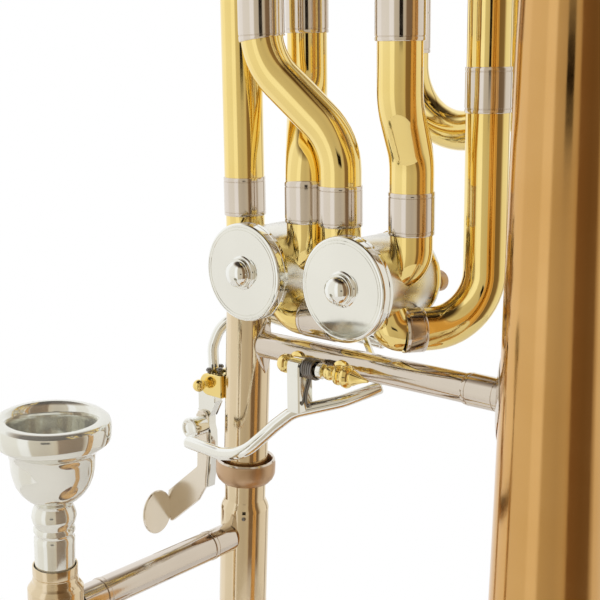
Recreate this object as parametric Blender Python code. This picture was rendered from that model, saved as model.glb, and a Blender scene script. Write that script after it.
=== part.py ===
"""Bass trombone with two rotary valves, standing bell down.

Origin: centre of the bell rim. +Z runs up the bell, +X from the neckpipe to the bell,
and the mouthpiece side of the hand slide is towards -Y. Sizes below are in millimetres.
"""
import math

import bmesh
import bpy
from mathutils import Matrix, Vector

MM = 0.001
GAP = 0.3

# Bell
RIM_R = 120.0
BELL_TOP = 527.7
BELL_WALL = 0.9
BELL_SEAM = 262.0
WAIST_R = 17.0
WAIST_Z = 323.0

# Hand slide frame: its origin is on the neckpipe's axis at the top of the coupling nut
NECK_X = -136.0
NUT_TOP_Z = 275.0
SLIDE_TILT = math.atan(0.057)
LEG_SPACING = 93.7
NECK_R = 8.65
BARREL_R = 9.57
INNER_TUBE_R = 7.0
OUTER_TUBE_R = 7.9
INNER_TUBE_END = -735.0
OUTER_TUBE_TOP = -98.0
CROOK_TOP = -745.0
CROOK_SPRING = -757.0

# Valves, whose rotors turn about Y
VALVE_Z = 354.5
VALVE_X = {"1": -118.0, "2": -71.3}
CASING_R = 15.8
CASING_FRONT = -11.5
CASING_BACK = 15.0
PORT_OFFSET = 15.4
PORT_TOP = 17.5
TRANSFER_DROP = 17.0

# Tubing
TUBE_R = 7.6
TUBE_BORE = 7.0
FERRULE_R = 7.9
PORT_R = 7.4
SLEEVE_R = 8.2
SLEEVE_BORE = 7.5
LEG_R = 7.1
LEG_BORE = 6.5

# Upper legs of the valve loops: (x, y)
SECOND_IN = (-114.0, -10.0)
SECOND_OUT = (-53.5, -10.0)
F_RETURN = (-120.7, 22.0)
F_INNER = (-100.0, 58.0)
F_BACK = (-51.0, 58.0)
F_RISER = (-42.0, 24.0)

# Hand brace and triggers
BRACE_Z = 323.0
BRACE_R = 5.1
THUMB_AXIS = (-93.0, -12.0, 322.0)
FINGER_AXIS = (-151.0, -1.5, 304.0)
ARM_Y = (17.3, 19.6)
LINK_Y = (19.9, 21.9)
ARM_1_END = (10.5, -1.5)
ARM_2_END = (-15.2, -11.5)


def clear_scene():
    for item in list(bpy.data.objects):
        bpy.data.objects.remove(item, do_unlink=True)


def material(name, colour, metallic, roughness):
    made = bpy.data.materials.new(name)
    made.use_nodes = True
    shader = made.node_tree.nodes["Principled BSDF"]
    shader.inputs["Base Color"].default_value = (*colour, 1.0)
    shader.inputs["Metallic"].default_value = metallic
    shader.inputs["Roughness"].default_value = roughness
    return made


def empty(name, place, parent=None, turn=None):
    """A joint or frame origin, placed in millimetres."""
    item = bpy.data.objects.new(name, None)
    bpy.context.scene.collection.objects.link(item)
    item.parent = parent
    matrix = Matrix.Translation(Vector(place) * MM)
    if turn is not None:
        matrix = matrix @ turn
    item.matrix_local = matrix
    return item


def node(name, bm, mat, parent=None, smooth=math.radians(40)):
    """Turn a bmesh into a named object under its parent."""
    bmesh.ops.remove_doubles(bm, verts=bm.verts, dist=1e-6)
    bmesh.ops.recalc_face_normals(bm, faces=bm.faces)
    mesh = bpy.data.meshes.new(name)
    bm.to_mesh(mesh)
    bm.free()
    mesh.materials.append(mat)
    mesh.shade_smooth()
    mesh.set_sharp_from_angle(angle=smooth)
    item = bpy.data.objects.new(name, mesh)
    bpy.context.scene.collection.objects.link(item)
    item.parent = parent
    return item


def helper(name, bm, mat, parent=None):
    """A shape that is only an operand of a boolean."""
    item = node(name, bm, mat, parent)
    item.hide_render = True
    item.display_type = "WIRE"
    return item


def boolean(item, other, operation):
    modifier = item.modifiers.new(other.name, "BOOLEAN")
    modifier.operation = operation
    modifier.solver = "EXACT"
    modifier.object = other


def bridge(bm, first, second):
    """Faces between two rings, where a ring of one vertex is a pole."""
    count = max(len(first), len(second))
    for i in range(count):
        j = (i + 1) % count
        corners = [first[i % len(first)], first[j % len(first)]]
        corners += [second[j % len(second)], second[i % len(second)]]
        unique = list(dict.fromkeys(corners))
        if len(unique) > 2:
            bm.faces.new(unique)


def lathe(profile, segments=16, hollow=False):
    """Revolve (radius, z) points about Z. A hollow profile is a closed loop."""
    bm = bmesh.new()
    rings = []
    for radius, z in profile:
        if radius == 0:
            rings.append([bm.verts.new((0, 0, z * MM))])
            continue
        ring = []
        for k in range(segments):
            angle = math.tau * (k + 0.5) / segments
            ring.append(bm.verts.new((radius * math.cos(angle) * MM, radius * math.sin(angle) * MM, z * MM)))
        rings.append(ring)
    for first, second in zip(rings, rings[1:]):
        bridge(bm, first, second)
    if hollow:
        bridge(bm, rings[-1], rings[0])
    return bm


def along(bm, axis):
    """Lay a shape made about Z along another axis."""
    turn = {"X": Matrix.Rotation(math.radians(90), 3, "Y"), "Y": Matrix.Rotation(math.radians(-90), 3, "X")}
    bmesh.ops.rotate(bm, verts=bm.verts, cent=(0, 0, 0), matrix=turn[axis])
    return bm


def move(bm, place):
    bmesh.ops.translate(bm, verts=bm.verts, vec=Vector(place) * MM)
    return bm


def route(corners, step=34.0):
    """Points along a polyline whose corners (point, radius) are rounded."""
    points = [Vector(corners[0][0])]
    for before, (corner, radius), after in zip(corners, corners[1:], corners[2:]):
        corner = Vector(corner)
        back = (Vector(before[0]) - corner).normalized()
        ahead = (Vector(after[0]) - corner).normalized()
        turn = math.pi - back.angle(ahead)
        if radius == 0 or turn < 1e-4:
            points.append(corner)
            continue
        centre = corner + (back + ahead).normalized() * radius / math.cos(turn / 2)
        start = corner + back * radius * math.tan(turn / 2)
        across = start - centre
        count = max(1, math.ceil(math.degrees(turn) / step))
        for k in range(count + 1):
            angle = turn * k / count
            points.append(centre + across * math.cos(angle) - back * radius * math.sin(angle))
    points.append(Vector(corners[-1][0]))
    kept = [points[0]]
    for point in points[1:]:
        if (point - kept[-1]).length > 0.05:
            kept.append(point)
    return kept


def length(path):
    return sum((b - a).length for a, b in zip(path, path[1:]))


def sweep(path, stations, segments=12):
    """Sweep a round section along a path.

    Each station is (distance from the start, outer radius, bore radius); no bore makes a rod.
    """
    distances = [0.0]
    for first, second in zip(path, path[1:]):
        distances.append(distances[-1] + (second - first).length)
    wanted = set(round(d, 4) for d in distances)
    wanted.update(round(min(max(s[0], 0.0), distances[-1]), 4) for s in stations)

    def place(distance):
        for k in range(len(path) - 1):
            if distance <= distances[k + 1] + 1e-6:
                share = (distance - distances[k]) / (distances[k + 1] - distances[k])
                return k, share, path[k].lerp(path[k + 1], share)
        return len(path) - 2, 1.0, path[-1]

    def radii(distance):
        if distance <= stations[0][0]:
            return stations[0][1:]
        for first, second in zip(stations, stations[1:]):
            if distance <= second[0] + 1e-6:
                share = (distance - first[0]) / max(second[0] - first[0], 1e-9)
                outer = first[1] + (second[1] - first[1]) * share
                bore = first[2] and first[2] + (second[2] - first[2]) * share
                return outer, bore
        return stations[-1][1:]

    runs = [(b - a).normalized() for a, b in zip(path, path[1:])]
    bm = bmesh.new()
    outers = []
    bores = []
    tangent = runs[0]
    side = tangent.orthogonal().normalized()
    if abs(tangent.z) > 0.5:
        side = (Vector((1, 0, 0)) - tangent * tangent.x).normalized()
    for distance in sorted(wanted):
        k, share, centre = place(distance)
        at_joint = share < 1e-5 and k > 0 or share > 1 - 1e-5 and k < len(runs) - 1
        if at_joint:
            joint = k if share < 0.5 else k + 1
            heading = (runs[joint - 1] + runs[joint]).normalized()
        else:
            heading = runs[k]
        side = (side - heading * side.dot(heading)).normalized()
        other = heading.cross(side)
        outer, bore = radii(distance)
        for radius, rings in ((outer, outers), (bore, bores)):
            if not radius:
                continue
            ring = []
            for n in range(segments):
                angle = math.tau * (n + 0.5) / segments
                offset = side * math.cos(angle) + other * math.sin(angle)
                ring.append(bm.verts.new((centre + offset * radius) * MM))
            rings.append(ring)
    for rings in (outers, bores):
        for first, second in zip(rings, rings[1:]):
            bridge(bm, first, second)
    for end in (0, -1):
        if bores:
            bridge(bm, outers[end], bores[end])
        else:
            bm.faces.new(outers[end])
    return bm


def banded(total, bands, radius=TUBE_R, bore=TUBE_BORE):
    """Stations of a plain tube with thicker bands: (start, end, outer radius, bore radius)."""
    edge = 0.15
    stations = [(0.0, radius, bore)]
    for start, end, band_r, band_bore in bands:
        if start > 0:
            stations += [(start - edge, radius, bore), (start, band_r, band_bore)]
        else:
            stations = [(0.0, band_r, band_bore)]
        stations.append((min(end, total), band_r, band_bore))
        if end < total - edge:
            stations.append((end + edge, radius, bore))
    if stations[-1][0] < total:
        stations.append((total, stations[-1][1], stations[-1][2]))
    return stations


def prism(outline, low, high, plane="XZ"):
    """Extrude a flat outline between two levels of the remaining axis."""
    bm = bmesh.new()
    spots = {"XZ": lambda a, b, c: (a, c, b), "YZ": lambda a, b, c: (c, a, b), "XY": lambda a, b, c: (a, b, c)}
    rings = []
    for level in (low, high):
        rings.append([bm.verts.new(Vector(spots[plane](a, b, level)) * MM) for a, b in outline])
    bridge(bm, rings[0], rings[1])
    for ring in rings:
        bm.faces.new(ring)
    return bm


def block(low, high):
    (x0, y0, z0), (x1, y1, z1) = low, high
    return prism([(x0, y0), (x1, y0), (x1, y1), (x0, y1)], z0, z1, "XY")


def oval(width, height, count, centre=(0.0, 0.0)):
    turns = [math.tau * k / count for k in range(count)]
    return [(centre[0] + width * math.cos(t), centre[1] + height * math.sin(t)) for t in turns]


def leaf(radius_at, thickness, middle, half_height, half_angle, facing, steps=6, across=8):
    """A curved foot plate with pointed ends, lying on a round tube."""
    bm = bmesh.new()
    rings = []
    for k in range(steps + 1):
        share = 2.0 * k / steps - 1.0
        z = middle + half_height * share
        spread = half_angle * max(0.06, (1.0 - abs(share)) ** 0.6)
        inner = radius_at(z)
        angles = [facing + spread * (2.0 * n / across - 1.0) for n in range(across + 1)]
        ring = [(inner, a) for a in angles] + [(inner + thickness, a) for a in reversed(angles)]
        rings.append([bm.verts.new(Vector((r * math.cos(a), r * math.sin(a), z)) * MM) for r, a in ring])
    for first, second in zip(rings, rings[1:]):
        bridge(bm, first, second)
    bm.faces.new(rings[0])
    bm.faces.new(rings[-1])
    return bm


def bell_radius(z):
    """Outer radius of the bell at a height above its rim."""
    stem = WAIST_R - 0.018 * (z - WAIST_Z)
    if z > 430:
        stem -= 0.018 * (z - 430)
    flare = 35.0 * math.exp(-z / 12.0) + 62.2 * math.exp(-z / 58.0)
    return stem + flare


def make_bell(mats):
    """The flare with its rim, and the stem that is fitted to its top edge."""
    heights = [2.6, 8, 16, 27, 42, 62, 88, 122, 165, 210, BELL_SEAM]
    outer = [(RIM_R + 1.2, 0.0), (RIM_R + 1.2, 2.2)] + [(bell_radius(z), z + 0.2) for z in heights]
    inner = [(bell_radius(z) - BELL_WALL, z + 0.2) for z in reversed(heights)] + [(RIM_R - 1.4, 0.0)]
    node("bell", lathe(outer + inner, 28, hollow=True), mats["gold_brass"])
    heights = [BELL_SEAM + GAP, 305, 430, BELL_TOP]
    outer = [(bell_radius(z), z + 0.2) for z in heights]
    inner = [(bell_radius(z) - BELL_WALL, z + 0.2) for z in reversed(heights)]
    node("bell_stem", lathe(outer + inner, 28, hollow=True), mats["gold_brass"])


def make_neckpipe(frame, mats):
    top = (VALVE_Z - 18.2 - NUT_TOP_Z) / math.cos(SLIDE_TILT)
    profile = [(NECK_R, -6.0), (NECK_R, top), (NECK_R - 0.7, top), (NECK_R - 0.7, -6.0)]
    node("neckpipe", lathe(profile, 20, hollow=True), mats["nickel"], frame)
    profile = [(11.8, -6.8), (11.8, -1.0), (11.0, 0.0), (9.0, 0.0), (9.0, -9.4), (9.8, -9.4)]
    node("coupling_nut", lathe(profile, 20, hollow=True), mats["nut"], frame)


def port_path(kind):
    """Centre line of a casing port, from inside the casing to its open end, about the rotor's axis."""
    side = -1 if "left" in kind else 1
    if "top" in kind:
        corners = [(side * 6, 0, 5), (side * PORT_OFFSET, 0, 12), (side * PORT_OFFSET, 0, PORT_TOP)]
    elif kind == "left_neck":
        corners = [(-6, 0, -5), (-14.5, 0, -11.5), (-14.5, 0, -17.9)]
    elif kind == "right_riser":
        corners = [(4.5, -1.0, -6), (10.3, -3.2, -16), (17.2, 6.7, -16)]
    else:
        corners = [(side * 5, 0, -6), (side * 9.5, 0, -TRANSFER_DROP), (side * 15.4, 0, -TRANSFER_DROP)]
    return [Vector(corner) for corner in corners]


def make_valve(number, ports, axis, mats):
    """Casing with its ports, screw cap, bearing plate, rotor and stop arm, about the rotor's axis."""
    shell = [(CASING_R, CASING_FRONT), (CASING_R, CASING_BACK), (0, CASING_BACK), (0, CASING_FRONT)]
    shell = [(0, CASING_FRONT)] + shell[:2] + [(0, CASING_BACK)]
    casing = node("valve_casing_" + number, along(lathe(shell, 20), "Y"), mats["silver"], axis)
    bores = []
    for kind in ports:
        path = port_path(kind)
        wall = sweep(path, [(0, PORT_R, None), (1, PORT_R, None)], 10)
        boolean(casing, helper("port_" + kind + number, wall, mats["brass"], axis), "UNION")
        ahead = (path[-1] - path[-2]).normalized()
        bore = sweep(path[:-1] + [path[-1] + ahead], [(0, PORT_R - 0.8, None), (1, PORT_R - 0.8, None)], 10)
        bores.append(helper("bore_" + kind + number, bore, mats["brass"], axis))
    for bore in bores:
        boolean(casing, bore, "DIFFERENCE")
    room = [(0, CASING_FRONT - 1), (14.4, CASING_FRONT - 1), (14.4, CASING_BACK + 1), (0, CASING_BACK + 1)]
    boolean(casing, helper("room_" + number, along(lathe(room, 20), "Y"), mats["brass"], axis), "DIFFERENCE")

    knob = [(0, -23.9), (3.6, -23.6), (5.2, -22.5), (5.3, -20.8), (6.3, -20.3), (6.3, -18.6)]
    rim = [(17.2, -18.4), (18.0, -17.5), (18.0, -13.0), (17.3, CASING_FRONT - GAP), (0, CASING_FRONT - GAP)]
    node("valve_cap_" + number, along(lathe(knob + rim, 20), "Y"), mats["silver"], axis)
    plate = [(16.3, 15.3), (16.3, 16.8), (2.7, 16.8), (2.7, 15.3)]
    node("bearing_plate_" + number, along(lathe(plate, 20, hollow=True), "Y"), mats["silver"], axis)

    body = [(0, -11.2), (3.2, -11.2), (3.2, -10.5), (14.0, -10.5), (14.0, 14.0), (2.3, 14.0), (2.3, 17.0), (0, 17.0)]
    rotor = node("rotor_" + number, along(lathe(body, 20), "Y"), mats["rotor"], axis)
    for side in (-1, 1):
        passage = sweep([Vector((side * 8.2, 0, -16)), Vector((side * 8.2, 0, 16))], [(0, 5.2, None), (32, 5.2, None)], 12)
        cutter = helper("passage_%s_%d" % (number, side), passage, mats["rotor"], axis)
        boolean(rotor, cutter, "DIFFERENCE")

    end = Vector((ARM_1_END if number == "1" else ARM_2_END))
    ahead = end.normalized()
    aside = Vector((-ahead.y, ahead.x))
    reach = end + ahead * 3.0
    outline = [-ahead * 4.2 - aside * 2.6, reach - aside * 2.6, reach + aside * 2.6, -ahead * 4.2 + aside * 2.6]
    arm = node("stop_arm_" + number, prism([tuple(p) for p in outline], *ARM_Y), mats["silver"], axis)
    pin = move(along(lathe([(0, 18), (1.2, 18), (1.2, 22.6), (0, 22.6)], 10), "Y"), (end.x, 0, end.y))
    boolean(arm, helper("arm_pin_" + number, pin, mats["silver"], axis), "UNION")


def make_links(mats):
    """Each link has an eye on its stop arm's pin and ends just short of its trigger lever."""
    for number, end, lower in (("1", ARM_1_END, (-77.6, 10.4, 317.4)), ("2", ARM_2_END, (-84.6, 21.0, 330.0))):
        top = Vector((VALVE_X[number] + end[0], 0, VALVE_Z + end[1]))
        axis = empty("link_%s_axis" % number, top)
        eye = [(3.2, LINK_Y[0]), (3.2, LINK_Y[1]), (1.6, LINK_Y[1]), (1.6, LINK_Y[0])]
        link = node("link_" + number, along(lathe(eye, 16, hollow=True), "Y"), mats["silver"], axis)
        start = Vector((0, sum(LINK_Y) / 2, 0))
        finish = Vector(lower) - top
        flat = Vector((finish.x, 0, finish.z)).normalized()
        path = [start + flat * 2.4, start + flat * 7.0, finish]
        bar = sweep(path, [(0, 0.95, None), (4.6, 0.95, None), (6, 1.4, None), (length(path), 1.4, None)], 8)
        boolean(link, helper("link_bar_" + number, bar, mats["silver"], axis), "UNION")


def tube_node(name, corners, bands, mats, mat="brass", parent=None, segments=12, **sizes):
    path = route(corners)
    return node(name, sweep(path, banded(length(path), bands, **sizes), segments), mats[mat], parent)


def make_valve_tubing(mats):
    """Fixed tubes of the main line and of the two valve loops."""
    start = VALVE_Z + PORT_TOP + GAP
    ferrule = (0, 14.6, FERRULE_R, TUBE_BORE)
    x1 = VALVE_X["1"]
    x2 = VALVE_X["2"]
    sleeve_low = 437.0
    sleeve_top = 492.0

    riser_x = x1 - PORT_OFFSET
    tube_node("main_riser", [((riser_x, 0, start), 0), ((riser_x, 0, 538), 0)], [ferrule], mats)

    def loop_leg(name, lower_x, upper, low, top, first_turn, second_turn):
        corners = [((lower_x, 0, start), 0), ((lower_x, 0, first_turn), 12), ((*upper, second_turn), 12), ((*upper, top), 0)]
        total = length(route(corners))
        sleeve = (total - (top - low), total, SLEEVE_R, SLEEVE_BORE)
        tube_node(name, corners, [ferrule, sleeve], mats)

    loop_leg("f_loop_return", x1 + PORT_OFFSET, F_RETURN, sleeve_low + 2, sleeve_top, 392, 418)
    loop_leg("second_loop_inlet", x2 - PORT_OFFSET, SECOND_IN, sleeve_low, sleeve_top, 402, 430)
    loop_leg("second_loop_outlet", x2 + PORT_OFFSET, SECOND_OUT, sleeve_low - 1, sleeve_top, 398, 416)

    z = VALVE_Z - TRANSFER_DROP
    left = x1 + PORT_OFFSET + GAP
    right = x2 - PORT_OFFSET - GAP
    tube_node("valve_link_tube", [((left, 0, z), 0), ((right, 0, z), 0)], [(0, 20, FERRULE_R - 0.4, 6.6)], mats, "nickel")

    bend_z = VALVE_Z - 16
    port = Vector((x2 + 17.2, 6.7, bend_z))
    ahead = (Vector((*F_RISER, bend_z)) - port).normalized()
    corners = [(port + ahead * GAP, 0), ((*F_RISER, bend_z), 19), ((*F_RISER, 515), 0)]
    total = length(route(corners))
    joint = total - (515 - 412)
    tube_node("f_loop_riser", corners, [(0, 7.5, FERRULE_R, 6.8), (joint, joint + 15.4, FERRULE_R, TUBE_BORE)], mats)

    low = 402.4
    reach = (F_BACK[0] - F_INNER[0]) / 2
    corners = [((*F_INNER, sleeve_top), 0), ((*F_INNER, low), reach), ((*F_BACK, low), reach), ((*F_BACK, 515), 0)]
    bands = [(0, sleeve_top - 431, SLEEVE_R, SLEEVE_BORE)]
    tube_node("f_loop_lower_bow", corners, bands, mats)

    top_low = 515 + GAP
    span = (Vector(F_RISER) - Vector(F_BACK)).length / 2
    top = 530 + span
    corners = [((*F_RISER, top_low), 0), ((*F_RISER, top), span), ((*F_BACK, top), span), ((*F_BACK, top_low), 0)]
    total = length(route(corners))
    tube_node("f_loop_upper_bow", corners, [(0, 12, FERRULE_R, TUBE_BORE), (total - 12, total, FERRULE_R, TUBE_BORE)], mats)


def make_tuning_slides(mats):
    """Each tuning slide is a bow whose legs run inside the fixed sleeves, and pulls out upwards."""
    low = 447.0
    top = 500.0
    for name, first, second in (("f_tuning_slide", F_RETURN, F_INNER), ("second_tuning_slide", SECOND_IN, SECOND_OUT)):
        span = (Vector(first) - Vector(second)).length / 2
        axis = empty(name + "_axis", (*first, top))
        feet = [Vector((*spot, 0)) - Vector((*first, top)) for spot in (first, second)]
        corners = [(feet[0] + Vector((0, 0, low)), 0), (feet[0] + Vector((0, 0, top + span)), span)]
        corners += [(feet[1] + Vector((0, 0, top + span)), span), (feet[1] + Vector((0, 0, low)), 0)]
        total = length(route(corners))
        leg = top - low
        bow = (leg - 6, total - leg + 6, TUBE_R, LEG_BORE)
        tube_node(name, corners, [bow], mats, parent=axis, radius=LEG_R, bore=LEG_BORE)

    valve_side = VALVE_X["1"] - PORT_OFFSET
    profile = [(8.6, 526), (8.6, 590), (7.95, 590), (7.95, 526)]
    node("main_receiver_valve_side", move(lathe(profile, 20, hollow=True), (valve_side, 0, 0)), mats["nickel"])
    profile = [(12.2, 528), (12.2, 590), (11.55, 590), (11.55, 528)]
    node("main_receiver_bell_side", lathe(profile, 24, hollow=True), mats["nickel"])
    stay = [Vector((valve_side + 8.6 + GAP, 0, 582)), Vector((-12.2 - GAP, 0, 582))]
    total = length(stay)
    bands = [(0, 4, 5.4, None), (total - 4, total, 5.4, None)]
    node("upper_stay", sweep(stay, banded(total, bands, 3.6, None), 12), mats["nickel"])

    axis = empty("main_tuning_slide_axis", (valve_side, 0, 600))
    span = -valve_side / 2
    corners = [((0, 0, -54), 0), ((0, 0, span), span), ((2 * span, 0, span), span), ((2 * span, 0, -52), 0)]
    path = route(corners, 30)
    total = length(path)
    stations = [(0, 7.5, 6.9), (47, 7.5, 6.9), (47.2, 8.0, 6.9), (58, 8.0, 6.9), (total - 58, 11.4, 10.4)]
    stations += [(total - 47.2, 11.4, 10.4), (total - 45, 11.1, 10.4), (total, 11.1, 10.4)]
    node("main_tuning_slide", sweep(path, stations, 14), mats["brass"], axis)
    stay = [Vector((8.0 + 0.9, 0, -2)), Vector((2 * span - 11.4 - 0.9, 0, -2))]
    total = length(stay)
    bands = [(0, 4, 4.4, None), (total - 4, total, 4.4, None)]
    node("tuning_slide_stay", sweep(stay, banded(total, bands, 3.2, None), 12), mats["nickel"], axis)


def make_stays(slide_frame, mats):
    """Hand brace between the neckpipe and the bell, its two feet, and the loop's stay."""
    left = NECK_X + math.tan(SLIDE_TILT) * (BRACE_Z - NUT_TOP_Z) + NECK_R + 1.6
    right = -bell_radius(BRACE_Z) - 1.6
    path = [Vector((left, 0, BRACE_Z)), Vector((right, 0, BRACE_Z))]
    total = length(path)
    sleeve = (total - 14.5, total, 5.7, None)
    node("hand_brace", sweep(path, banded(total, [sleeve], BRACE_R, None), 16), mats["nickel"])
    foot = leaf(lambda z: bell_radius(z) + 0.35, 0.8, BRACE_Z, 19, math.radians(42), math.pi)
    node("hand_brace_foot_bell", foot, mats["nickel"])
    height = BRACE_Z - NUT_TOP_Z
    foot = leaf(lambda z: NECK_R + 0.35, 0.8, height, 13.0, math.radians(60), 0.0)
    node("hand_brace_foot_neck", foot, mats["nickel"], slide_frame)
    toward = Vector((-F_RISER[0], -F_RISER[1], 0)).normalized()
    z = 486.0
    start = Vector((*F_RISER, z)) + toward * (TUBE_R + GAP)
    finish = Vector((0, 0, z)) - toward * (bell_radius(z) + GAP)
    total = length([start, finish])
    bands = [(0, 2.5, 4.2, None), (total - 2.5, total, 4.2, None)]
    node("loop_stay", sweep([start, finish], banded(total, bands, 2.6, None), 12), mats["nickel"])


def make_thumb_trigger(mats):
    """Sprung lever under the hand brace, turning about X between two ball posts."""
    axis = empty("thumb_axis", THUMB_AXIS)
    brace_y = -THUMB_AXIS[1]
    for name, x, ball in (("thumb_post_left", -9.6, 3.0), ("thumb_post_right", 11.0, 2.75)):
        stem_end = brace_y - BRACE_R - GAP
        profile = [(0, -ball), (ball * 0.7, -ball * 0.7), (ball, 0), (ball * 0.7, ball * 0.7), (1.9, ball + 0.2)]
        profile += [(3.2, stem_end - 1.6), (3.2, stem_end), (0, stem_end)]
        node(name, move(along(lathe(profile, 14), "Y"), (x, 0, 0)), mats["brass"])
        bpy.data.objects[name].parent = axis
    rod = [Vector((-6.3, 0, 0)), Vector((7.9, 0, 0))]
    node("thumb_hinge_rod", sweep(rod, [(0, 1.2, None), (14.2, 1.2, None)], 12), mats["steel"], axis)
    spring = along(lathe([(3.7, 0.0), (3.7, 5.4), (1.8, 5.4), (1.8, 0.0)], 16, hollow=True), "X")
    node("thumb_spring", spring, mats["spring"], axis)

    lever = node("thumb_lever", block((-6.3, -3.9, -16.5), (-0.3, 3.9, 3.0)), mats["silver"], axis)
    paddle = [((-49.9, -13, -35.4), 0), ((-31.8, -13, -36.2), 12), ((-20.6, -12.4, -34.0), 14), ((-10.6, -5.6, -22.6), 14)]
    paddle += [((-5.5, -1.5, -17.4), 10), ((8.0, 10.0, -13.5), 14), ((18.0, 21.0, -8.5), 0)]
    path = route(paddle, 24)
    rod = sweep(path, [(0, 2.4, None), (1, 2.4, None)], 10)
    boolean(lever, helper("thumb_rod", rod, mats["silver"], axis), "UNION")
    hole = along(lathe([(0, -8), (1.6, -8), (1.6, 2), (0, 2)], 12), "X")
    boolean(lever, helper("thumb_hinge_hole", hole, mats["silver"], axis), "DIFFERENCE")


def make_finger_trigger(mats):
    """Lever on the neckpipe's hinge block, turning about Y, with an adjustable touch."""
    axis = empty("finger_axis", FINGER_AXIS)
    fork = node("finger_hinge_block", block((-5.0, -5.5, -4.5), (7.6, 5.5, 4.5)), mats["brass"], axis)
    slot = helper("fork_slot", block((-6.0, -2.7, -6.0), (5.5, 2.7, 6.0)), mats["brass"], axis)
    boolean(fork, slot, "DIFFERENCE")
    hole = along(lathe([(0, -8), (1.6, -8), (1.6, 8), (0, 8)], 12), "Y")
    boolean(fork, helper("fork_hole", hole, mats["brass"], axis), "DIFFERENCE")
    screw = [(0, -9.8), (1.7, -9.2), (2.3, -7.8), (1.7, -6.3), (1.3, -5.9), (1.3, 5.4), (0, 5.4)]
    node("finger_hinge_screw", along(lathe(screw, 12), "Y"), mats["brass"], axis)

    knuckle = [(3.3, -2.4), (3.3, 2.4), (0, 2.4)]
    lever = node("finger_lever", along(lathe([(0, -2.4)] + knuckle, 16), "Y"), mats["silver"], axis)
    bar = [((0, 0, 2), 0), ((-0.5, 0, 14), 6), ((2.5, 3.5, 26), 8), ((13, 15.5, 26), 10), ((30, 16.5, 24), 20)]
    bar += [((50, 23.0, 22.5), 20), ((67, 23.5, 21.5), 0)]
    rod = sweep(route(bar, 30), [(0, 2.2, None), (1, 2.2, None)], 10)
    boolean(lever, helper("finger_rod", rod, mats["silver"], axis), "UNION")
    outline = [(-7.5, -2.5), (-2, -1.5), (2, -1.5), (1.6, -7.5), (-1.2, -9.5), (0, -21), (-3.0, -43), (-6.2, -43), (-7.0, -21), (-8.6, -7.5)]
    plate = helper("finger_plate", prism(outline, -1.0, 0.8), mats["silver"], axis)
    boolean(lever, plate, "UNION")
    hole = along(lathe([(0, -4), (1.6, -4), (1.6, 4), (0, 4)], 12), "Y")
    boolean(lever, helper("knuckle_hole", hole, mats["silver"], axis), "DIFFERENCE")

    outline = [(-8.2, -12), (-2.8, -12), (-2.6, -30), (-4.6, -45.5), (-9.0, -52.2), (-27.6, -67.6), (-27.6, -53.2), (-8.2, -37.6)]
    touch = node("finger_touch", prism(outline, -2.6, -1.3), mats["silver"], axis)
    pad = prism(oval(7.7, 9.4, 20, (-9.4, -59.8)), -27.6, -26.4, "YZ")
    boolean(touch, helper("touch_pad", pad, mats["silver"], axis), "UNION")
    profile = [(0, -10.6), (4.2, -10.6), (4.5, -10.0), (4.5, -8.2), (1.3, -7.8), (1.3, -2.9), (0, -2.9)]
    screw = move(along(lathe(profile, 18), "Y"), (-4.6, 0, -18.5))
    node("touch_screw", screw, mats["silver"], axis)


def make_inner_slide(frame, mats):
    """Cork barrels, receiver, brace and the two inner tubes."""
    neck = [(8.1, -6.3), (8.1, -17.5), (BARREL_R, -19.7), (BARREL_R, -96), (8.9, -96), (8.9, -22), (7.4, -20.5), (7.4, -6.3)]
    node("cork_barrel_neck_side", lathe(neck, 20, hollow=True), mats["nickel"], frame)
    mouth = empty("mouthpiece_axis", (0, -LEG_SPACING, 0), frame)
    shell = [(8.4, -12.5), (8.4, -16.0), (7.8, -16.6), (7.8, -18.5), (BARREL_R, -20.5), (BARREL_R, -96)]
    shell += [(8.9, -96), (8.9, -46), (7.1, -44), (7.1, -12.5)]
    node("mouthpiece_receiver_barrel", lathe(shell, 20, hollow=True), mats["nickel"], mouth)
    for name, parent, top in (("inner_tube_neck_side", frame, -8.0), ("inner_tube_mouthpiece_side", mouth, -46.5)):
        tube = [(INNER_TUBE_R, top), (INNER_TUBE_R, INNER_TUBE_END), (6.4, INNER_TUBE_END), (6.4, top)]
        node(name, lathe(tube, 16, hollow=True), mats["nickel"], parent)
    z = -31.5
    path = [Vector((0, -BARREL_R - GAP, z)), Vector((0, BARREL_R + GAP - LEG_SPACING, z))]
    total = length(path)
    bands = [(0, 10.5, 5.9, None), (total - 13, total, 5.9, None)]
    node("slide_brace", sweep(path, banded(total, bands, 5.6, None), 16), mats["nickel"], frame)
    ring = [(10.9, -92), (10.9, -82), (9.95, -82), (9.95, -92)]
    node("slide_lock_ring", lathe(ring, 20, hollow=True), mats["nickel"], frame)

    outer = [(16.9, 40.8), (19.0, 39.9), (19.62, 37.8), (19.5, 33.5), (18.2, 31.8), (14.6, 28.6), (14.0, 22.0)]
    outer += [(12.4, 16.6), (9.6, 12.6), (6.6, 10.4), (6.6, 8.6), (7.6, 5.4), (6.9, 2.0), (6.9, -12.0), (5.9, -38.0)]
    inner = [(5.0, -38.0), (3.5, 4.0), (4.6, 10.6), (8.4, 14.6), (11.6, 20.0), (13.0, 28.0), (13.6, 36.0), (14.6, 40.2)]
    node("mouthpiece", lathe(outer + inner, 18, hollow=True), mats["silver"], mouth)
    return mouth


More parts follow.
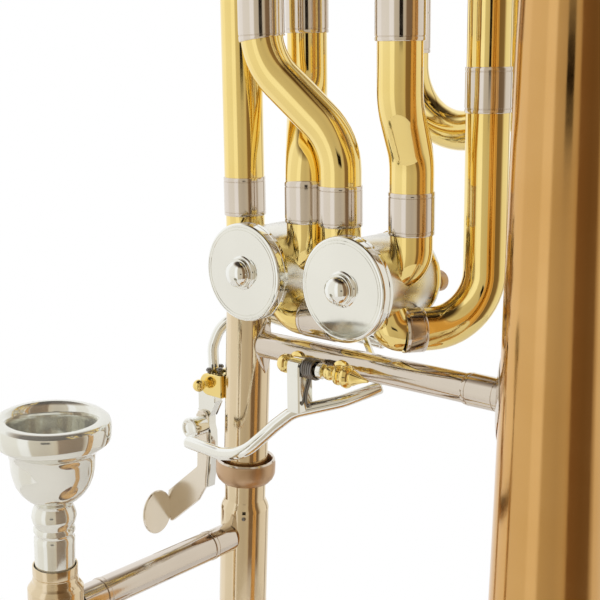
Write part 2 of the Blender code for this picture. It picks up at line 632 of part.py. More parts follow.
def make_outer_slide(frame, mouth, mats):
    """Outer tubes, grip brace, crook, bumper and water key."""
    bore = OUTER_TUBE_R - 0.6
    for name, parent in (("outer_tube_neck_side", frame), ("outer_tube_mouthpiece_side", mouth)):
        top = OUTER_TUBE_TOP
        sleeve = [(8.5, top), (8.5, -134), (OUTER_TUBE_R, -134.5), (OUTER_TUBE_R, CROOK_TOP + GAP)]
        tube = sleeve + [(bore, CROOK_TOP + GAP), (bore, top)]
        node(name, lathe(tube, 16, hollow=True), mats["brass"], parent)
    z = -119.0
    path = [Vector((0, -8.5 - GAP, z)), Vector((0, 8.5 + GAP - LEG_SPACING, z))]
    total = length(path)
    bands = [(0, 6, 6.2, None), (total - 6, total, 6.2, None)]
    node("grip_brace", sweep(path, banded(total, bands, 4.8, None), 14), mats["nickel"], frame)
    reach = LEG_SPACING / 2
    low = CROOK_SPRING - reach
    corners = [((0, 0, CROOK_TOP), 0), ((0, 0, low), reach), ((0, -LEG_SPACING, low), reach), ((0, -LEG_SPACING, CROOK_TOP), 0)]
    path = route(corners, 18)
    total = length(path)
    ends = [(0, 12, 8.6, bore), (total - 12, total, 8.6, bore)]
    node("slide_crook", sweep(path, banded(total, ends, 8.1, bore), 12), mats["brass"], frame)
    tip = low - 8.1 - GAP
    profile = [(0, tip), (4.6, tip), (5.2, tip - 3), (5.0, tip - 7), (3.6, tip - 9), (0, tip - 9)]
    node("slide_bumper", move(lathe(profile, 16), (0, -reach, 0)), mats["rubber"], frame)

    angle = math.radians(54)
    outward = Vector((0, math.cos(angle), -math.sin(angle)))
    seat = Vector((0, -reach, CROOK_SPRING)) + outward * (reach + 8.1 + GAP)
    facing = Matrix((Vector((1, 0, 0)), outward.cross(Vector((1, 0, 0))), outward)).transposed().to_4x4()
    key = empty("water_key_axis", seat, frame, facing)
    profile = [(3.0, 0), (2.6, 3.4), (1.4, 3.4), (1.4, 0)]
    node("water_key_nipple", lathe(profile, 14, hollow=True), mats["nickel"], key)
    saddle = node("water_key_saddle", block((-3.6, 11.5, -1.3), (3.6, 17.5, 7.0)), mats["nickel"], key)
    slot = helper("saddle_slot", block((-2.0, 10.5, 1.6), (2.0, 18.5, 8.0)), mats["nickel"], key)
    boolean(saddle, slot, "DIFFERENCE")
    lever = [(-4.0, 5.6), (11, 5.6), (13.0, 3.2), (16.0, 3.2), (17.5, 5.6), (28, 9.2), (27.4, 10.8), (16.5, 7.4), (-4.0, 7.0)]
    arm = node("water_key", prism(lever, -1.6, 1.6, "YZ"), mats["nickel"], key)
    pad = lathe([(0, 3.7), (3.3, 3.7), (3.3, 6.2), (0, 6.2)], 14)
    boolean(arm, helper("water_key_pad", pad, mats["nickel"], key), "UNION")


def main():
    clear_scene()
    mats = {
        "gold_brass": material("gold_brass", (0.83, 0.50, 0.28), 1.0, 0.18),
        "brass": material("brass", (0.86, 0.64, 0.24), 1.0, 0.15),
        "nickel": material("nickel_silver", (0.66, 0.58, 0.54), 1.0, 0.16),
        "silver": material("silver_plate", (0.86, 0.86, 0.84), 1.0, 0.12),
        "rotor": material("rotor_metal", (0.62, 0.60, 0.56), 1.0, 0.30),
        "nut": material("nut_metal", (0.52, 0.38, 0.28), 1.0, 0.28),
        "steel": material("steel", (0.48, 0.47, 0.45), 1.0, 0.30),
        "spring": material("spring_steel", (0.20, 0.19, 0.18), 1.0, 0.35),
        "rubber": material("rubber", (0.03, 0.03, 0.03), 0.0, 0.60),
    }
    slide_frame = empty("hand_slide_axis", (NECK_X, 0, NUT_TOP_Z), turn=Matrix.Rotation(SLIDE_TILT, 4, "Y"))
    make_bell(mats)
    make_neckpipe(slide_frame, mats)
    layout = {"1": ("top_left", "top_right", "left_neck", "right_link"), "2": ("top_left", "top_right", "left_link", "right_riser")}
    for number, ports in layout.items():
        axis = empty("rotor_%s_axis" % number, (VALVE_X[number], 0, VALVE_Z))
        make_valve(number, ports, axis, mats)
    make_links(mats)
    make_valve_tubing(mats)
    make_tuning_slides(mats)
    make_stays(slide_frame, mats)
    make_thumb_trigger(mats)
    make_finger_trigger(mats)
    mouth = make_inner_slide(slide_frame, mats)
    make_outer_slide(slide_frame, mouth, mats)


main()
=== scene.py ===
"""Detailed visual model of a two-valve bass trombone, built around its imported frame.

Sizes are in millimetres unless a name says otherwise. The frame's origin is the centre of
the bell rim, +Z runs up the bell and the mouthpiece is towards -Y.
"""
import math

import bmesh
import bpy
from mathutils import Matrix, Vector


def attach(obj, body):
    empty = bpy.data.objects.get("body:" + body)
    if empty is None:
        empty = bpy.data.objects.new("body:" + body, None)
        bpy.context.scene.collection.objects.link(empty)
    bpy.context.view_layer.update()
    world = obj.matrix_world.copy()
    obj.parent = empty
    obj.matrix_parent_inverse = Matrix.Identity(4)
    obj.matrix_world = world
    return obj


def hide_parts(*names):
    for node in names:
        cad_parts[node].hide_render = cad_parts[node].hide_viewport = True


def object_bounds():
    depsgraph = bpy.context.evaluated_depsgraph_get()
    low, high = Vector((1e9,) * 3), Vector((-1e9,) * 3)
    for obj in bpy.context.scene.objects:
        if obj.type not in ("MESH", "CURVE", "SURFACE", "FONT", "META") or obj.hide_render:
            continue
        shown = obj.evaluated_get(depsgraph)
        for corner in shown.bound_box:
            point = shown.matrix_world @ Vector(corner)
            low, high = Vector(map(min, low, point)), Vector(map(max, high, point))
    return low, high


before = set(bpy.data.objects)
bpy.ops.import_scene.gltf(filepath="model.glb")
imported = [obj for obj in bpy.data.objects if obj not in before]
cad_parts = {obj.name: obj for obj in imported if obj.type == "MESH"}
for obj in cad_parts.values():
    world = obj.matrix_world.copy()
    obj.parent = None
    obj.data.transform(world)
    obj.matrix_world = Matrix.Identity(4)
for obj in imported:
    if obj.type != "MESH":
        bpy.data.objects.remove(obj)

CAD_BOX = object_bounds()
MM = 0.001
ROOT = "bell_section"
SHARP_ANGLE = 32
# Sides of a turned or swept piece, by how large it is
VERY_FINE = 96
FINE = 48
MEDIUM = 28

# Layout, as in the frame
NECK = Vector((-136.0, 0.0, 275.0))
TILT = math.atan(0.057)
SLIDE = Matrix.Translation(NECK) @ Matrix.Rotation(TILT, 4, "Y")
LEG_SPACING = 93.7
MOUTH_LEG = SLIDE @ Matrix.Translation((0, -LEG_SPACING, 0))
VALVE_Z = 354.5
VALVE_X = {"1": -118.0, "2": -71.3}
PORT_OFFSET = 15.4
PORT_TOP = 17.5
RISER_X = VALVE_X["1"] - PORT_OFFSET
SECOND_IN = (-114.0, -10.0)
SECOND_OUT = (-53.5, -10.0)
F_RETURN = (-120.7, 22.0)
F_INNER = (-100.0, 58.0)
F_BACK = (-51.0, 58.0)
F_RISER = (-42.0, 24.0)
BRACE_Z = 323.0
BELL_TOP = 527.7
BELL_WALL = 0.8
RIM_R = 119.35
RIM_BEAD_R = 1.55
THUMB = Vector((-93.0, -12.0, 322.0))
FINGER = Vector((-151.0, -1.5, 304.0))
GAP = 0.3

# Ports and the link between the casings. The lower port of valve 2 was fitted to the photo.
PORT_END_Z = VALVE_Z + PORT_TOP + GAP
PORT_MOUTH = (-59.6, 0.0)
PORT_LOW_Z = VALVE_Z - 16
LINK_Z = VALVE_Z - 17
LINK_X = (VALVE_X["1"] + PORT_OFFSET + GAP, VALVE_X["2"] - PORT_OFFSET - GAP)

# Heights at which the tubes end or turn
LOOP_TOP = 492
RISER_TOP = 515
LOWER_BOW_Z = 402.4
SLIDE_LEG_LOW = 447.0
SLIDE_LEG_TOP = 500.0
MAIN_TOP = 590

# Radii and lengths of the tubing
TUBE_R = 7.5
PORT_R = 7.3
LEG_R = 7.05
FERRULE_R = 7.88
FERRULE_LONG = 14.6
SLEEVE_R = 8.2
BARREL_R = 9.57

# Heights along the hand slide's own axis
BARREL_END = -96
INNER_TUBE_END = -735.0
OUTER_TUBE_TOP = -98.0
CROOK_TOP = -745
CROOK_SPRING = -757.0


# -------- materials

def ramp(nodes, stops):
    """A colour ramp node with (place, colour) stops."""
    node = nodes.new("ShaderNodeValToRGB")
    while len(node.color_ramp.elements) < len(stops):
        node.color_ramp.elements.new(0.5)
    for element, (place, colour) in zip(node.color_ramp.elements, stops):
        element.position = place
        element.color = (*colour, 1.0)
    return node


def metal(name, colour, shade, roughness, spread=0.04, coat=0.0, wave=0.12, grain=0.05, metallic=1.0):
    """Metal with slight tone drift, uneven polish, long waves and fine polishing marks."""
    made = bpy.data.materials.new(name)
    made.use_nodes = True
    nodes = made.node_tree.nodes
    links = made.node_tree.links
    shader = nodes["Principled BSDF"]
    shader.inputs["Metallic"].default_value = metallic
    shader.inputs["Coat Weight"].default_value = coat
    shader.inputs["Coat Roughness"].default_value = 0.04
    where = nodes.new("ShaderNodeTexCoord")

    def noise(scale, detail, stretch=(1, 1, 1)):
        mapping = nodes.new("ShaderNodeMapping")
        mapping.inputs["Scale"].default_value = stretch
        links.new(where.outputs["Object"], mapping.inputs["Vector"])
        node = nodes.new("ShaderNodeTexNoise")
        node.inputs["Scale"].default_value = scale
        node.inputs["Detail"].default_value = detail
        links.new(mapping.outputs["Vector"], node.inputs["Vector"])
        return node.outputs["Fac"]

    tone = ramp(nodes, [(0.32, shade), (0.68, colour)])
    links.new(noise(34, 3), tone.inputs["Fac"])
    links.new(tone.outputs["Color"], shader.inputs["Base Color"])
    polish = nodes.new("ShaderNodeMapRange")
    polish.inputs["From Min"].default_value = 0.3
    polish.inputs["From Max"].default_value = 0.7
    polish.inputs["To Min"].default_value = max(roughness - spread, 0.02)
    polish.inputs["To Max"].default_value = roughness + spread
    links.new(noise(90, 4), polish.inputs["Value"])
    links.new(polish.outputs["Result"], shader.inputs["Roughness"])
    long_wave = nodes.new("ShaderNodeBump")
    long_wave.inputs["Strength"].default_value = wave
    long_wave.inputs["Distance"].default_value = 0.0012
    links.new(noise(38, 1), long_wave.inputs["Height"])
    fine = nodes.new("ShaderNodeBump")
    fine.inputs["Strength"].default_value = grain
    fine.inputs["Distance"].default_value = 0.00008
    links.new(noise(900, 2, (1, 1, 0.25)), fine.inputs["Height"])
    links.new(long_wave.outputs["Normal"], fine.inputs["Normal"])
    links.new(fine.outputs["Normal"], shader.inputs["Normal"])
    return made


MATS = {
    "gold_brass": metal("gold_brass", (0.70, 0.415, 0.15), (0.665, 0.38, 0.125), 0.12, coat=0.25, wave=0.03),
    "lacquered_brass": metal("lacquered_brass", (0.94, 0.75, 0.30), (0.91, 0.70, 0.25), 0.06, coat=0.25,
                             wave=0.06),
    "nickel_silver": metal("nickel_silver", (0.76, 0.69, 0.61), (0.71, 0.64, 0.56), 0.09, wave=0.04),
    "neck_silver": metal("neck_silver", (0.80, 0.67, 0.47), (0.76, 0.63, 0.43), 0.11, wave=0.04),
    "silver_plate": metal("silver_plate", (0.90, 0.90, 0.85), (0.86, 0.86, 0.81), 0.07, spread=0.03,
                          wave=0.04),
    "mouth_silver": metal("mouth_silver", (0.84, 0.84, 0.78), (0.80, 0.80, 0.74), 0.07, spread=0.03,
                          wave=0.04, metallic=0.8),
    "casing_silver": metal("casing_silver", (0.86, 0.84, 0.76), (0.82, 0.80, 0.72), 0.27, wave=0.03),
    "touch_silver": metal("touch_silver", (0.86, 0.80, 0.70), (0.80, 0.73, 0.62), 0.20, wave=0.05),
    "rotor_metal": metal("rotor_metal", (0.62, 0.60, 0.56), (0.54, 0.52, 0.49), 0.30),
    "nut_metal": metal("nut_metal", (0.62, 0.43, 0.27), (0.56, 0.38, 0.23), 0.38, wave=0.02, grain=0.15),
    "dark_steel": metal("dark_steel", (0.26, 0.24, 0.22), (0.17, 0.16, 0.15), 0.32),
    "grey_cap": metal("grey_cap", (0.40, 0.36, 0.32), (0.30, 0.27, 0.25), 0.30),
    "rubber": metal("rubber", (0.035, 0.035, 0.035), (0.02, 0.02, 0.02), 0.62, metallic=0.0, grain=0.4),
}


# -------- mesh tools

def piece(name, bm, mat, body, nodes=(), at=None):
    """Finish a bmesh in millimetres as a visible object that rides on a CAD body."""
    if at is not None:
        bmesh.ops.transform(bm, matrix=at, verts=bm.verts)
    bmesh.ops.remove_doubles(bm, verts=bm.verts, dist=1e-4)
    bmesh.ops.recalc_face_normals(bm, faces=bm.faces)
    bmesh.ops.scale(bm, vec=(MM, MM, MM), verts=bm.verts)
    mesh = bpy.data.meshes.new(name)
    bm.to_mesh(mesh)
    bm.free()
    mesh.materials.append(MATS[mat])
    mesh.shade_smooth()
    mesh.set_sharp_from_angle(angle=math.radians(SHARP_ANGLE))
    made = bpy.data.objects.new(name, mesh)
    bpy.context.scene.collection.objects.link(made)
    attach(made, body)
    if nodes:
        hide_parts(*nodes)


def bridge(bm, first, second):
    """Join two rings with faces. A ring of one vertex is a tip."""
    count = max(len(first), len(second))
    for i in range(count):
        j = (i + 1) % count
        corners = [first[i % len(first)], first[j % len(first)]]
        corners += [second[j % len(second)], second[i % len(second)]]
        unique = list(dict.fromkeys(corners))
        if len(unique) > 2:
            bm.faces.new(unique)


def rounded(points, radius, closed=False, steps=4):
    """Round the corners of a flat (a, b) outline by up to a radius."""
    flat = [Vector(p) for p in points]
    result = []
    count = len(flat)
    for i, corner in enumerate(flat):
        if not closed and i in (0, count - 1):
            result.append(tuple(corner))
            continue
        back = flat[i - 1] - corner
        ahead = flat[(i + 1) % count] - corner
        if back.length < 1e-6 or ahead.length < 1e-6:
            result.append(tuple(corner))
            continue
        angle = back.angle(ahead)
        turn = math.pi - angle
        if turn < 0.12:
            result.append(tuple(corner))
            continue
        reach = min(radius * math.tan(turn / 2), back.length * 0.45, ahead.length * 0.45)
        start = corner + back.normalized() * reach
        finish = corner + ahead.normalized() * reach
        for k in range(steps + 1):
            t = k / steps
            spot = start * (1 - t) ** 2 + corner * 2 * t * (1 - t) + finish * t * t
            result.append(tuple(spot))
    return result


def lathe(profile, segments=FINE, closed=False, ridges=None):
    """Revolve (radius, z) points about Z. Ridges (low z, high z, depth) raise every other segment."""
    bm = bmesh.new()
    rings = []
    for radius, z in profile:
        if radius < 1e-6:
            rings.append([bm.verts.new((0, 0, z))])
            continue
        ring = []
        for k in range(segments):
            angle = math.tau * k / segments
            r = radius
            if ridges and ridges[0] <= z <= ridges[1]:
                r += ridges[2] * (k % 2)
            ring.append(bm.verts.new((r * math.cos(angle), r * math.sin(angle), z)))
        rings.append(ring)
    for first, second in zip(rings, rings[1:]):
        bridge(bm, first, second)
    if closed:
        bridge(bm, rings[-1], rings[0])
    return bm


TURN_X = Matrix.Rotation(math.radians(90), 4, "Y")
TURN_Y = Matrix.Rotation(math.radians(-90), 4, "X")


def place(x, y, z, turn=None):
    """A matrix that turns a piece about its origin and moves it to a point."""
    matrix = Matrix.Translation((x, y, z))
    return matrix @ turn if turn is not None else matrix


def route(corners):
    """A path along corner points, each (point, bend radius), with a point every 6 degrees of bend."""
    points = [Vector(corners[0][0])]
    for before, (corner, radius), after in zip(corners, corners[1:], corners[2:]):
        corner = Vector(corner)
        back = (Vector(before[0]) - corner).normalized()
        ahead = (Vector(after[0]) - corner).normalized()
        turn = math.pi - back.angle(ahead)
        if radius == 0 or turn < 1e-4:
            points.append(corner)
            continue
        centre = corner + (back + ahead).normalized() * radius / math.cos(turn / 2)
        across = corner + back * radius * math.tan(turn / 2) - centre
        count = max(2, math.ceil(math.degrees(turn) / 6.0))
        for k in range(count + 1):
            angle = turn * k / count
            points.append(centre + across * math.cos(angle) - back * radius * math.sin(angle))
    points.append(Vector(corners[-1][0]))
    kept = [points[0]]
    for point in points[1:]:
        if (point - kept[-1]).length > 0.02:
            kept.append(point)
    return kept


def length(path):
    """How long a path of points is."""
    return sum((b - a).length for a, b in zip(path, path[1:]))


def sweep(path, stations, segments=MEDIUM, dome=0.0):
    """A round rod along a path. Stations are (distance, radius); dome rounds both ends."""
    distances = [0.0]
    for first, second in zip(path, path[1:]):
        distances.append(distances[-1] + (second - first).length)
    total = distances[-1]
    if dome:
        low, high = stations[0][1], stations[-1][1]
        turns = (0.0, 0.4, 0.8, 1.2, 1.57)
        head = [(dome * (1 - math.cos(t)), low - dome + dome * math.sin(t)) for t in turns]
        tail = [(total - d, high - low + r) for d, r in reversed(head)]
        middle = [s for s in stations if dome < s[0] < total - dome]
        stations = head + middle + tail
    stops = distances + [min(max(s[0], 0), total) for s in stations]
    wanted = sorted({round(d, 4) for d in stops})
    runs = [(b - a).normalized() for a, b in zip(path, path[1:])]
    bm = bmesh.new()
    rings = []
    side = runs[0].orthogonal().normalized()
    for distance in wanted:
        k = 0
        while k < len(runs) - 1 and distance > distances[k + 1] + 1e-6:
            k += 1
        share = (distance - distances[k]) / (distances[k + 1] - distances[k])
        centre = path[k].lerp(path[k + 1], share)
        heading = runs[k]
        if share > 1 - 1e-4 and k + 1 < len(runs):
            heading = (runs[k] + runs[k + 1]).normalized()
        radius = stations[-1][1]
        for first, second in zip(stations, stations[1:]):
            if distance <= second[0] + 1e-6:
                share = (distance - first[0]) / max(second[0] - first[0], 1e-9)
                radius = first[1] + (second[1] - first[1]) * min(max(share, 0), 1)
                break
        side = (side - heading * side.dot(heading)).normalized()
        other = heading.cross(side)
        if radius < 1e-3:
            rings.append([bm.verts.new(centre)])
            continue
        ring = []
        for n in range(segments):
            angle = math.tau * n / segments
            outward = side * math.cos(angle) + other * math.sin(angle)
            ring.append(bm.verts.new(centre + outward * radius))
        rings.append(ring)
    for first, second in zip(rings, rings[1:]):
        bridge(bm, first, second)
    for ring in (rings[0], rings[-1]):
        if len(ring) > 1:
            bm.faces.new(ring)
    return bm


def facing(start, heading):
    """A matrix whose Z runs along a heading from a start point."""
    turn = Vector((0, 0, 1)).rotation_difference(Vector(heading)).to_matrix().to_4x4()
    return Matrix.Translation(start) @ turn


def slab(outline, low, high, plane, bevel):
    """A flat plate with softened edges, extruded from an outline in the XZ or YZ plane."""
    spots = {"XZ": lambda a, b, c: (a, c, b), "YZ": lambda a, b, c: (c, a, b)}
    centre = sum((Vector(p) for p in outline), Vector((0, 0))) / len(outline)
    inner = []
    count = len(outline)
    for i, point in enumerate(outline):
        spot = Vector(point)
        along = (Vector(outline[(i + 1) % count]) - Vector(outline[i - 1])).normalized()
        normal = Vector((along.y, -along.x))
        if (spot + normal * 0.01 - centre).length > (spot - centre).length:
            normal = -normal
        inner.append(tuple(spot + normal * bevel))
    bm = bmesh.new()
    rings = []
    for shape, level in ((inner, low), (outline, low + bevel), (outline, high - bevel), (inner, high)):
        rings.append([bm.verts.new(spots[plane](a, b, level)) for a, b in shape])
    for first, second in zip(rings, rings[1:]):
        bridge(bm, first, second)
    bm.faces.new(rings[0])
    bm.faces.new(rings[-1])
    return bm


def join(target, other):
    """Add one bmesh to another."""
    mesh = bpy.data.meshes.new("join")
    other.to_mesh(mesh)
    other.free()
    target.from_mesh(mesh)
    bpy.data.meshes.remove(mesh)


def stretch(path, start, finish):
    """The part of a path between two distances along it."""
    distances = [0.0]
    for first, second in zip(path, path[1:]):
        distances.append(distances[-1] + (second - first).length)

    def at(d):
        for k in range(len(path) - 1):
            if d <= distances[k + 1] + 1e-6:
                share = (d - distances[k]) / (distances[k + 1] - distances[k])
                return path[k].lerp(path[k + 1], share)
        return path[-1].copy()

    inside = [d for d in distances if start + 0.1 < d < finish - 0.1]
    return [at(d) for d in [start] + inside + [finish]]


def ferrule(name, path, distance, long, radius=FERRULE_R, body=ROOT):
    """A sleeve with turned lines near both ends, bent along a tube's path."""
    groove = radius - 0.2
    half = [(0, radius - 0.5), (0.12, radius - 0.14), (0.4, radius)]
    half += [(1.35, radius), (1.45, groove), (1.65, groove), (1.75, radius)]
    stations = half + [(long - d, r) for d, r in reversed(half)]
    own = stretch(path, distance, distance + long)
    piece(name, sweep(own, stations, FINE), "nickel_silver", body)


def tube(name, path, nodes=(), radius=TUBE_R, body=ROOT):
    """A plain brass tube along a path."""
    piece(name, sweep(path, [(0, radius), (length(path), radius)], FINE), "lacquered_brass", body, nodes)


def brace(name, path, thin, thick, nodes, body):
    """A turned stay with stepped feet."""
    total = length(path)
    half = [(0, thick - 0.2), (0.25, thick), (2.6, thick), (2.9, thick - 0.5), (3.4, thin + 0.7)]
    half += [(4.0, thin + 0.25), (4.4, thin + 0.25), (5.0, thin)]
    stations = half + [(total - d, r) for d, r in reversed(half)]
    piece(name, sweep(path, stations, FINE), "nickel_silver", body, nodes)


def ball(radius, middle=0.0):
    """Profile points from the low pole of a ball to 60 degrees above its equator."""
    turns = [math.radians(-90 + 15 * k) for k in range(11)]
    return [(radius * math.cos(turn), middle + radius * math.sin(turn)) for turn in turns]


# -------- bell and neckpipe

def bell_radius(z):
    """Outside radius of the bell: a tapered stem and two curves that open towards the rim."""
    stem = 17.0 - 0.018 * (z - BRACE_Z)
    if z > 430:
        stem -= 0.018 * (z - 430)
    return stem + 35.0 * math.exp(-z / 12.0) + 62.2 * math.exp(-z / 58.0)


def make_bell():
    """The flare with its rolled rim, and the ring round the top of the stem."""
    heights = [3.0 * 1.085 ** k for k in range(64) if 3.0 * 1.085 ** k < 520] + [BELL_TOP]
    outer = [(bell_radius(z), z) for z in heights]
    inner = [(bell_radius(z) - BELL_WALL, z) for z in reversed(heights)]
    bead = []
    for k in range(15):
        angle = math.radians(225 - 270 * k / 14)
        bead.append((RIM_R + RIM_BEAD_R * math.cos(angle), 1.6 + RIM_BEAD_R * math.sin(angle)))
    profile = inner + list(reversed(bead)) + outer
    piece("bell_shell", lathe(profile, 160, closed=True), "gold_brass", ROOT, ["bell", "bell_stem"])
    low = 505.0
    high = BELL_TOP - GAP
    profile = [(bell_radius(low) + 0.02, low), (bell_radius(low) + 0.35, low + 0.3)]
    profile += [(bell_radius(high) + 0.35, high - 0.3), (bell_radius(high) + 0.02, high)]
    piece("bell_stem_ring", lathe(profile, FINE), "nickel_silver", ROOT)


def make_neck():
    """The neckpipe and the coupling nut at its lower end, about the slide's axis."""
    top = (VALVE_Z - 18.2 - NECK.z) / math.cos(TILT)
    wall = [(8.62, -6.0), (8.62, top - 0.3), (8.4, top), (7.9, top), (7.9, -6.0)]
    piece("neckpipe_tube", lathe(rounded(wall, 0.3), FINE, closed=True), "neck_silver", ROOT,
          ["neckpipe"], SLIDE)
    nut = [(8.95, -9.1), (9.4, -9.4), (9.9, -9.2), (11.1, -7.8), (11.7, -6.3), (11.8, -5.0), (11.8, -1.9),
           (11.55, -1.2)]
    nut += [(11.6, -0.7), (11.3, -0.1), (10.7, -0.1), (10.4, -0.6), (10.3, -5.0), (8.95, -6.6)]
    piece("coupling_nut_body", lathe(nut, VERY_FINE, closed=True), "nut_metal", "nut", ["coupling_nut"],
          SLIDE)
    lip = [(10.42, -0.35), (10.75, 0.12), (11.2, 0.14), (11.62, -0.42), (11.3, -0.75), (10.6, -0.75)]
    piece("coupling_nut_lip", lathe(lip, VERY_FINE, closed=True), "nickel_silver", "nut", (), SLIDE)


# -------- valves

def make_valve(number):
    """A casing with its rear ring, bearing plate, screw cap and the hub on the rotor's end."""
    here = place(VALVE_X[number], 0, VALVE_Z, TURN_Y)
    shell = [(0, -11.4), (15.0, -11.4), (15.8, -10.8), (15.8, 14.4), (15.5, 15.0), (0, 15.0)]
    piece("casing_%s_shell" % number, lathe(shell, VERY_FINE), "casing_silver", ROOT,
          ["valve_casing_" + number], here)
    plate = [(0, 15.3), (16.0, 15.3), (16.3, 15.6), (16.3, 16.4), (16.0, 16.8), (5.2, 16.8), (4.6, 17.2),
             (2.6, 17.2), (0, 17.2)]
    edge = [(15.9, 14.7), (16.35, 14.9), (16.35, 15.35), (15.9, 15.5), (15.2, 15.1)]
    piece("casing_%s_back_ring" % number, lathe(edge, VERY_FINE, closed=True), "lacquered_brass", ROOT,
          (), here)
    piece("bearing_plate_%s_disc" % number, lathe(plate, VERY_FINE), "silver_plate", ROOT,
          ["bearing_plate_" + number], here)

    face = [(6.3, -18.4), (15.55, -18.4), (15.66, -18.22), (15.84, -18.22), (15.95, -18.4)]
    face += [(16.55, -18.4), (16.66, -18.2), (16.84, -18.2), (16.95, -18.38), (17.0, -18.36)]
    for k in range(1, 7):
        turn = math.radians(15 * k)
        face.append((17.0 + math.sin(turn), -17.35 - math.cos(turn)))
    face += [(18.0, -15.2), (17.7, -15.0), (17.7, -14.7), (17.9, -14.55)]
    knurl = [(17.82, -14.4), (17.82, -13.3)]
    back = [(17.9, -13.15), (17.4, -12.5), (16.9, -11.95), (0, -11.95)]
    bm = lathe(face + knurl + back, 280, ridges=(-14.45, -13.25, 0.14))
    knob = [(0, -24.1), (1.4, -24.0), (2.7, -23.6), (3.8, -22.95), (4.55, -22.1), (4.85, -21.3),
            (4.75, -21.0)]
    knob += [(4.6, -20.85), (4.6, -20.6), (5.3, -20.45), (5.45, -20.2), (5.45, -19.15), (5.9, -18.95),
             (6.3, -18.4)]
    join(bm, lathe(knob, 280))
    piece("valve_%s_cap" % number, bm, "silver_plate", ROOT, ["valve_cap_" + number], here)

    hub = [(0, 22.4), (1.6, 22.2), (2.9, 21.4), (3.6, 20.2), (3.6, 19.2), (3.0, 18.0), (2.2, 17.4),
           (2.2, 17.2), (0, 17.2)]
    body = "first_rotor" if number == "1" else "second_rotor"
    piece("rotor_%s_hub" % number, lathe(hub, MEDIUM), "grey_cap", body, (), here)


def make_ports():
    """Brass elbows that lead from the tubes into the casings."""
    high = VALVE_Z + 4.5
    inside = VALVE_Z - 1
    x1 = VALVE_X["1"]
    x2 = VALVE_X["2"]
    neck_z = VALVE_Z - 4
    low = {
        "1": (
            [((x1 - 4, 0, neck_z), 0), ((x1 - 14.4, 0, neck_z), 8.6), ((x1 - 14.4, 0, VALVE_Z - 17.9), 0)],
            [((x1 + 4.6, 0, inside), 0), ((x1 + 4.6, 0, LINK_Z), 9.0), ((LINK_X[0], 0, LINK_Z), 0)],
        ),
        "2": (
            [((x2 - 4.6, 0, inside), 0), ((x2 - 4.6, 0, LINK_Z), 9.0), ((LINK_X[1], 0, LINK_Z), 0)],
            [((x2 + 3.0, -3.0, VALVE_Z - 2), 0), ((-61.2, -2.1, PORT_LOW_Z), 4.0),
             ((*PORT_MOUTH, PORT_LOW_Z), 0)],
        ),
    }
    for number, x in VALVE_X.items():
        paths = []
        for side in (-1, 1):
            mouth = x + side * PORT_OFFSET
            paths.append([((x + side * 1.5, 0, high), 0), ((mouth, 0, high), 8.6),
                          ((mouth, 0, PORT_END_Z), 0)])
        bm = bmesh.new()
        for corners in (*paths, *low[number]):
            path = route(corners)
            join(bm, sweep(path, [(0, PORT_R), (length(path), PORT_R)], FINE))
        piece("valve_%s_ports" % number, bm, "lacquered_brass", ROOT)


def make_valve_2_inside():
    """The second rotor's core, slim enough to clear the port below it, and the stop bumper behind."""
    core = [(0, -11.2), (3.2, -11.2), (3.2, -10.5), (11.4, -10.5), (11.4, 13.9), (2.3, 13.9), (2.3, 17.0),
            (0, 17.0)]
    here = place(VALVE_X["2"], 0, VALVE_Z, TURN_Y)
    piece("valve_2_rotor", lathe(core, 64), "rotor_metal", "second_rotor", ["rotor_2"], here)
    cork = [(0, 17.0), (3.2, 17.0), (3.7, 17.5), (3.8, 20.8), (3.2, 21.8), (0, 22.0)]
    here = place(VALVE_X["2"] + 12.7, 0, VALVE_Z - 1.5, TURN_Y)
    piece("valve_2_stop_bumper", lathe(rounded(cork, 0.5), FINE), "nut_metal", ROOT, (), here)


# -------- tubes

def make_riser_and_legs():
    """The main riser, the three loop legs above the valves, and the link between the casings."""
    x1 = VALVE_X["1"]
    x2 = VALVE_X["2"]
    riser = [Vector((RISER_X, 0, PORT_END_Z)), Vector((RISER_X, 0, 538))]
    tube("main_riser_tube", riser, ["main_riser"])
    ferrule("main_riser_ferrule", riser, 0, FERRULE_LONG)

    legs = (
        ("f_loop_return", x1 + PORT_OFFSET, F_RETURN, 392, 418, 18, 439),
        ("second_loop_inlet", x2 - PORT_OFFSET, SECOND_IN, 402, 430, 24, 437),
        ("second_loop_outlet", x2 + PORT_OFFSET, SECOND_OUT, 398, 416, 18, 436),
    )
    for name, lower_x, upper, first_turn, second_turn, bend, sleeve_low in legs:
        corners = [((lower_x, 0, PORT_END_Z), 0), ((lower_x, 0, first_turn), bend)]
        corners += [((*upper, second_turn), bend), ((*upper, LOOP_TOP), 0)]
        path = route(corners)
        sleeve = LOOP_TOP - sleeve_low
        tube(name + "_tube", path, [name])
        ferrule(name + "_ferrule", path, 0, FERRULE_LONG)
        ferrule(name + "_sleeve", path, length(path) - sleeve, sleeve, radius=SLEEVE_R)

    link = [Vector((x, 0, LINK_Z)) for x in LINK_X]
    tube("valve_link_inner", link, ["valve_link_tube"], radius=7.0)
    ferrule("valve_link_ferrule", link, 0.2, length(link) - 0.4, radius=7.5)


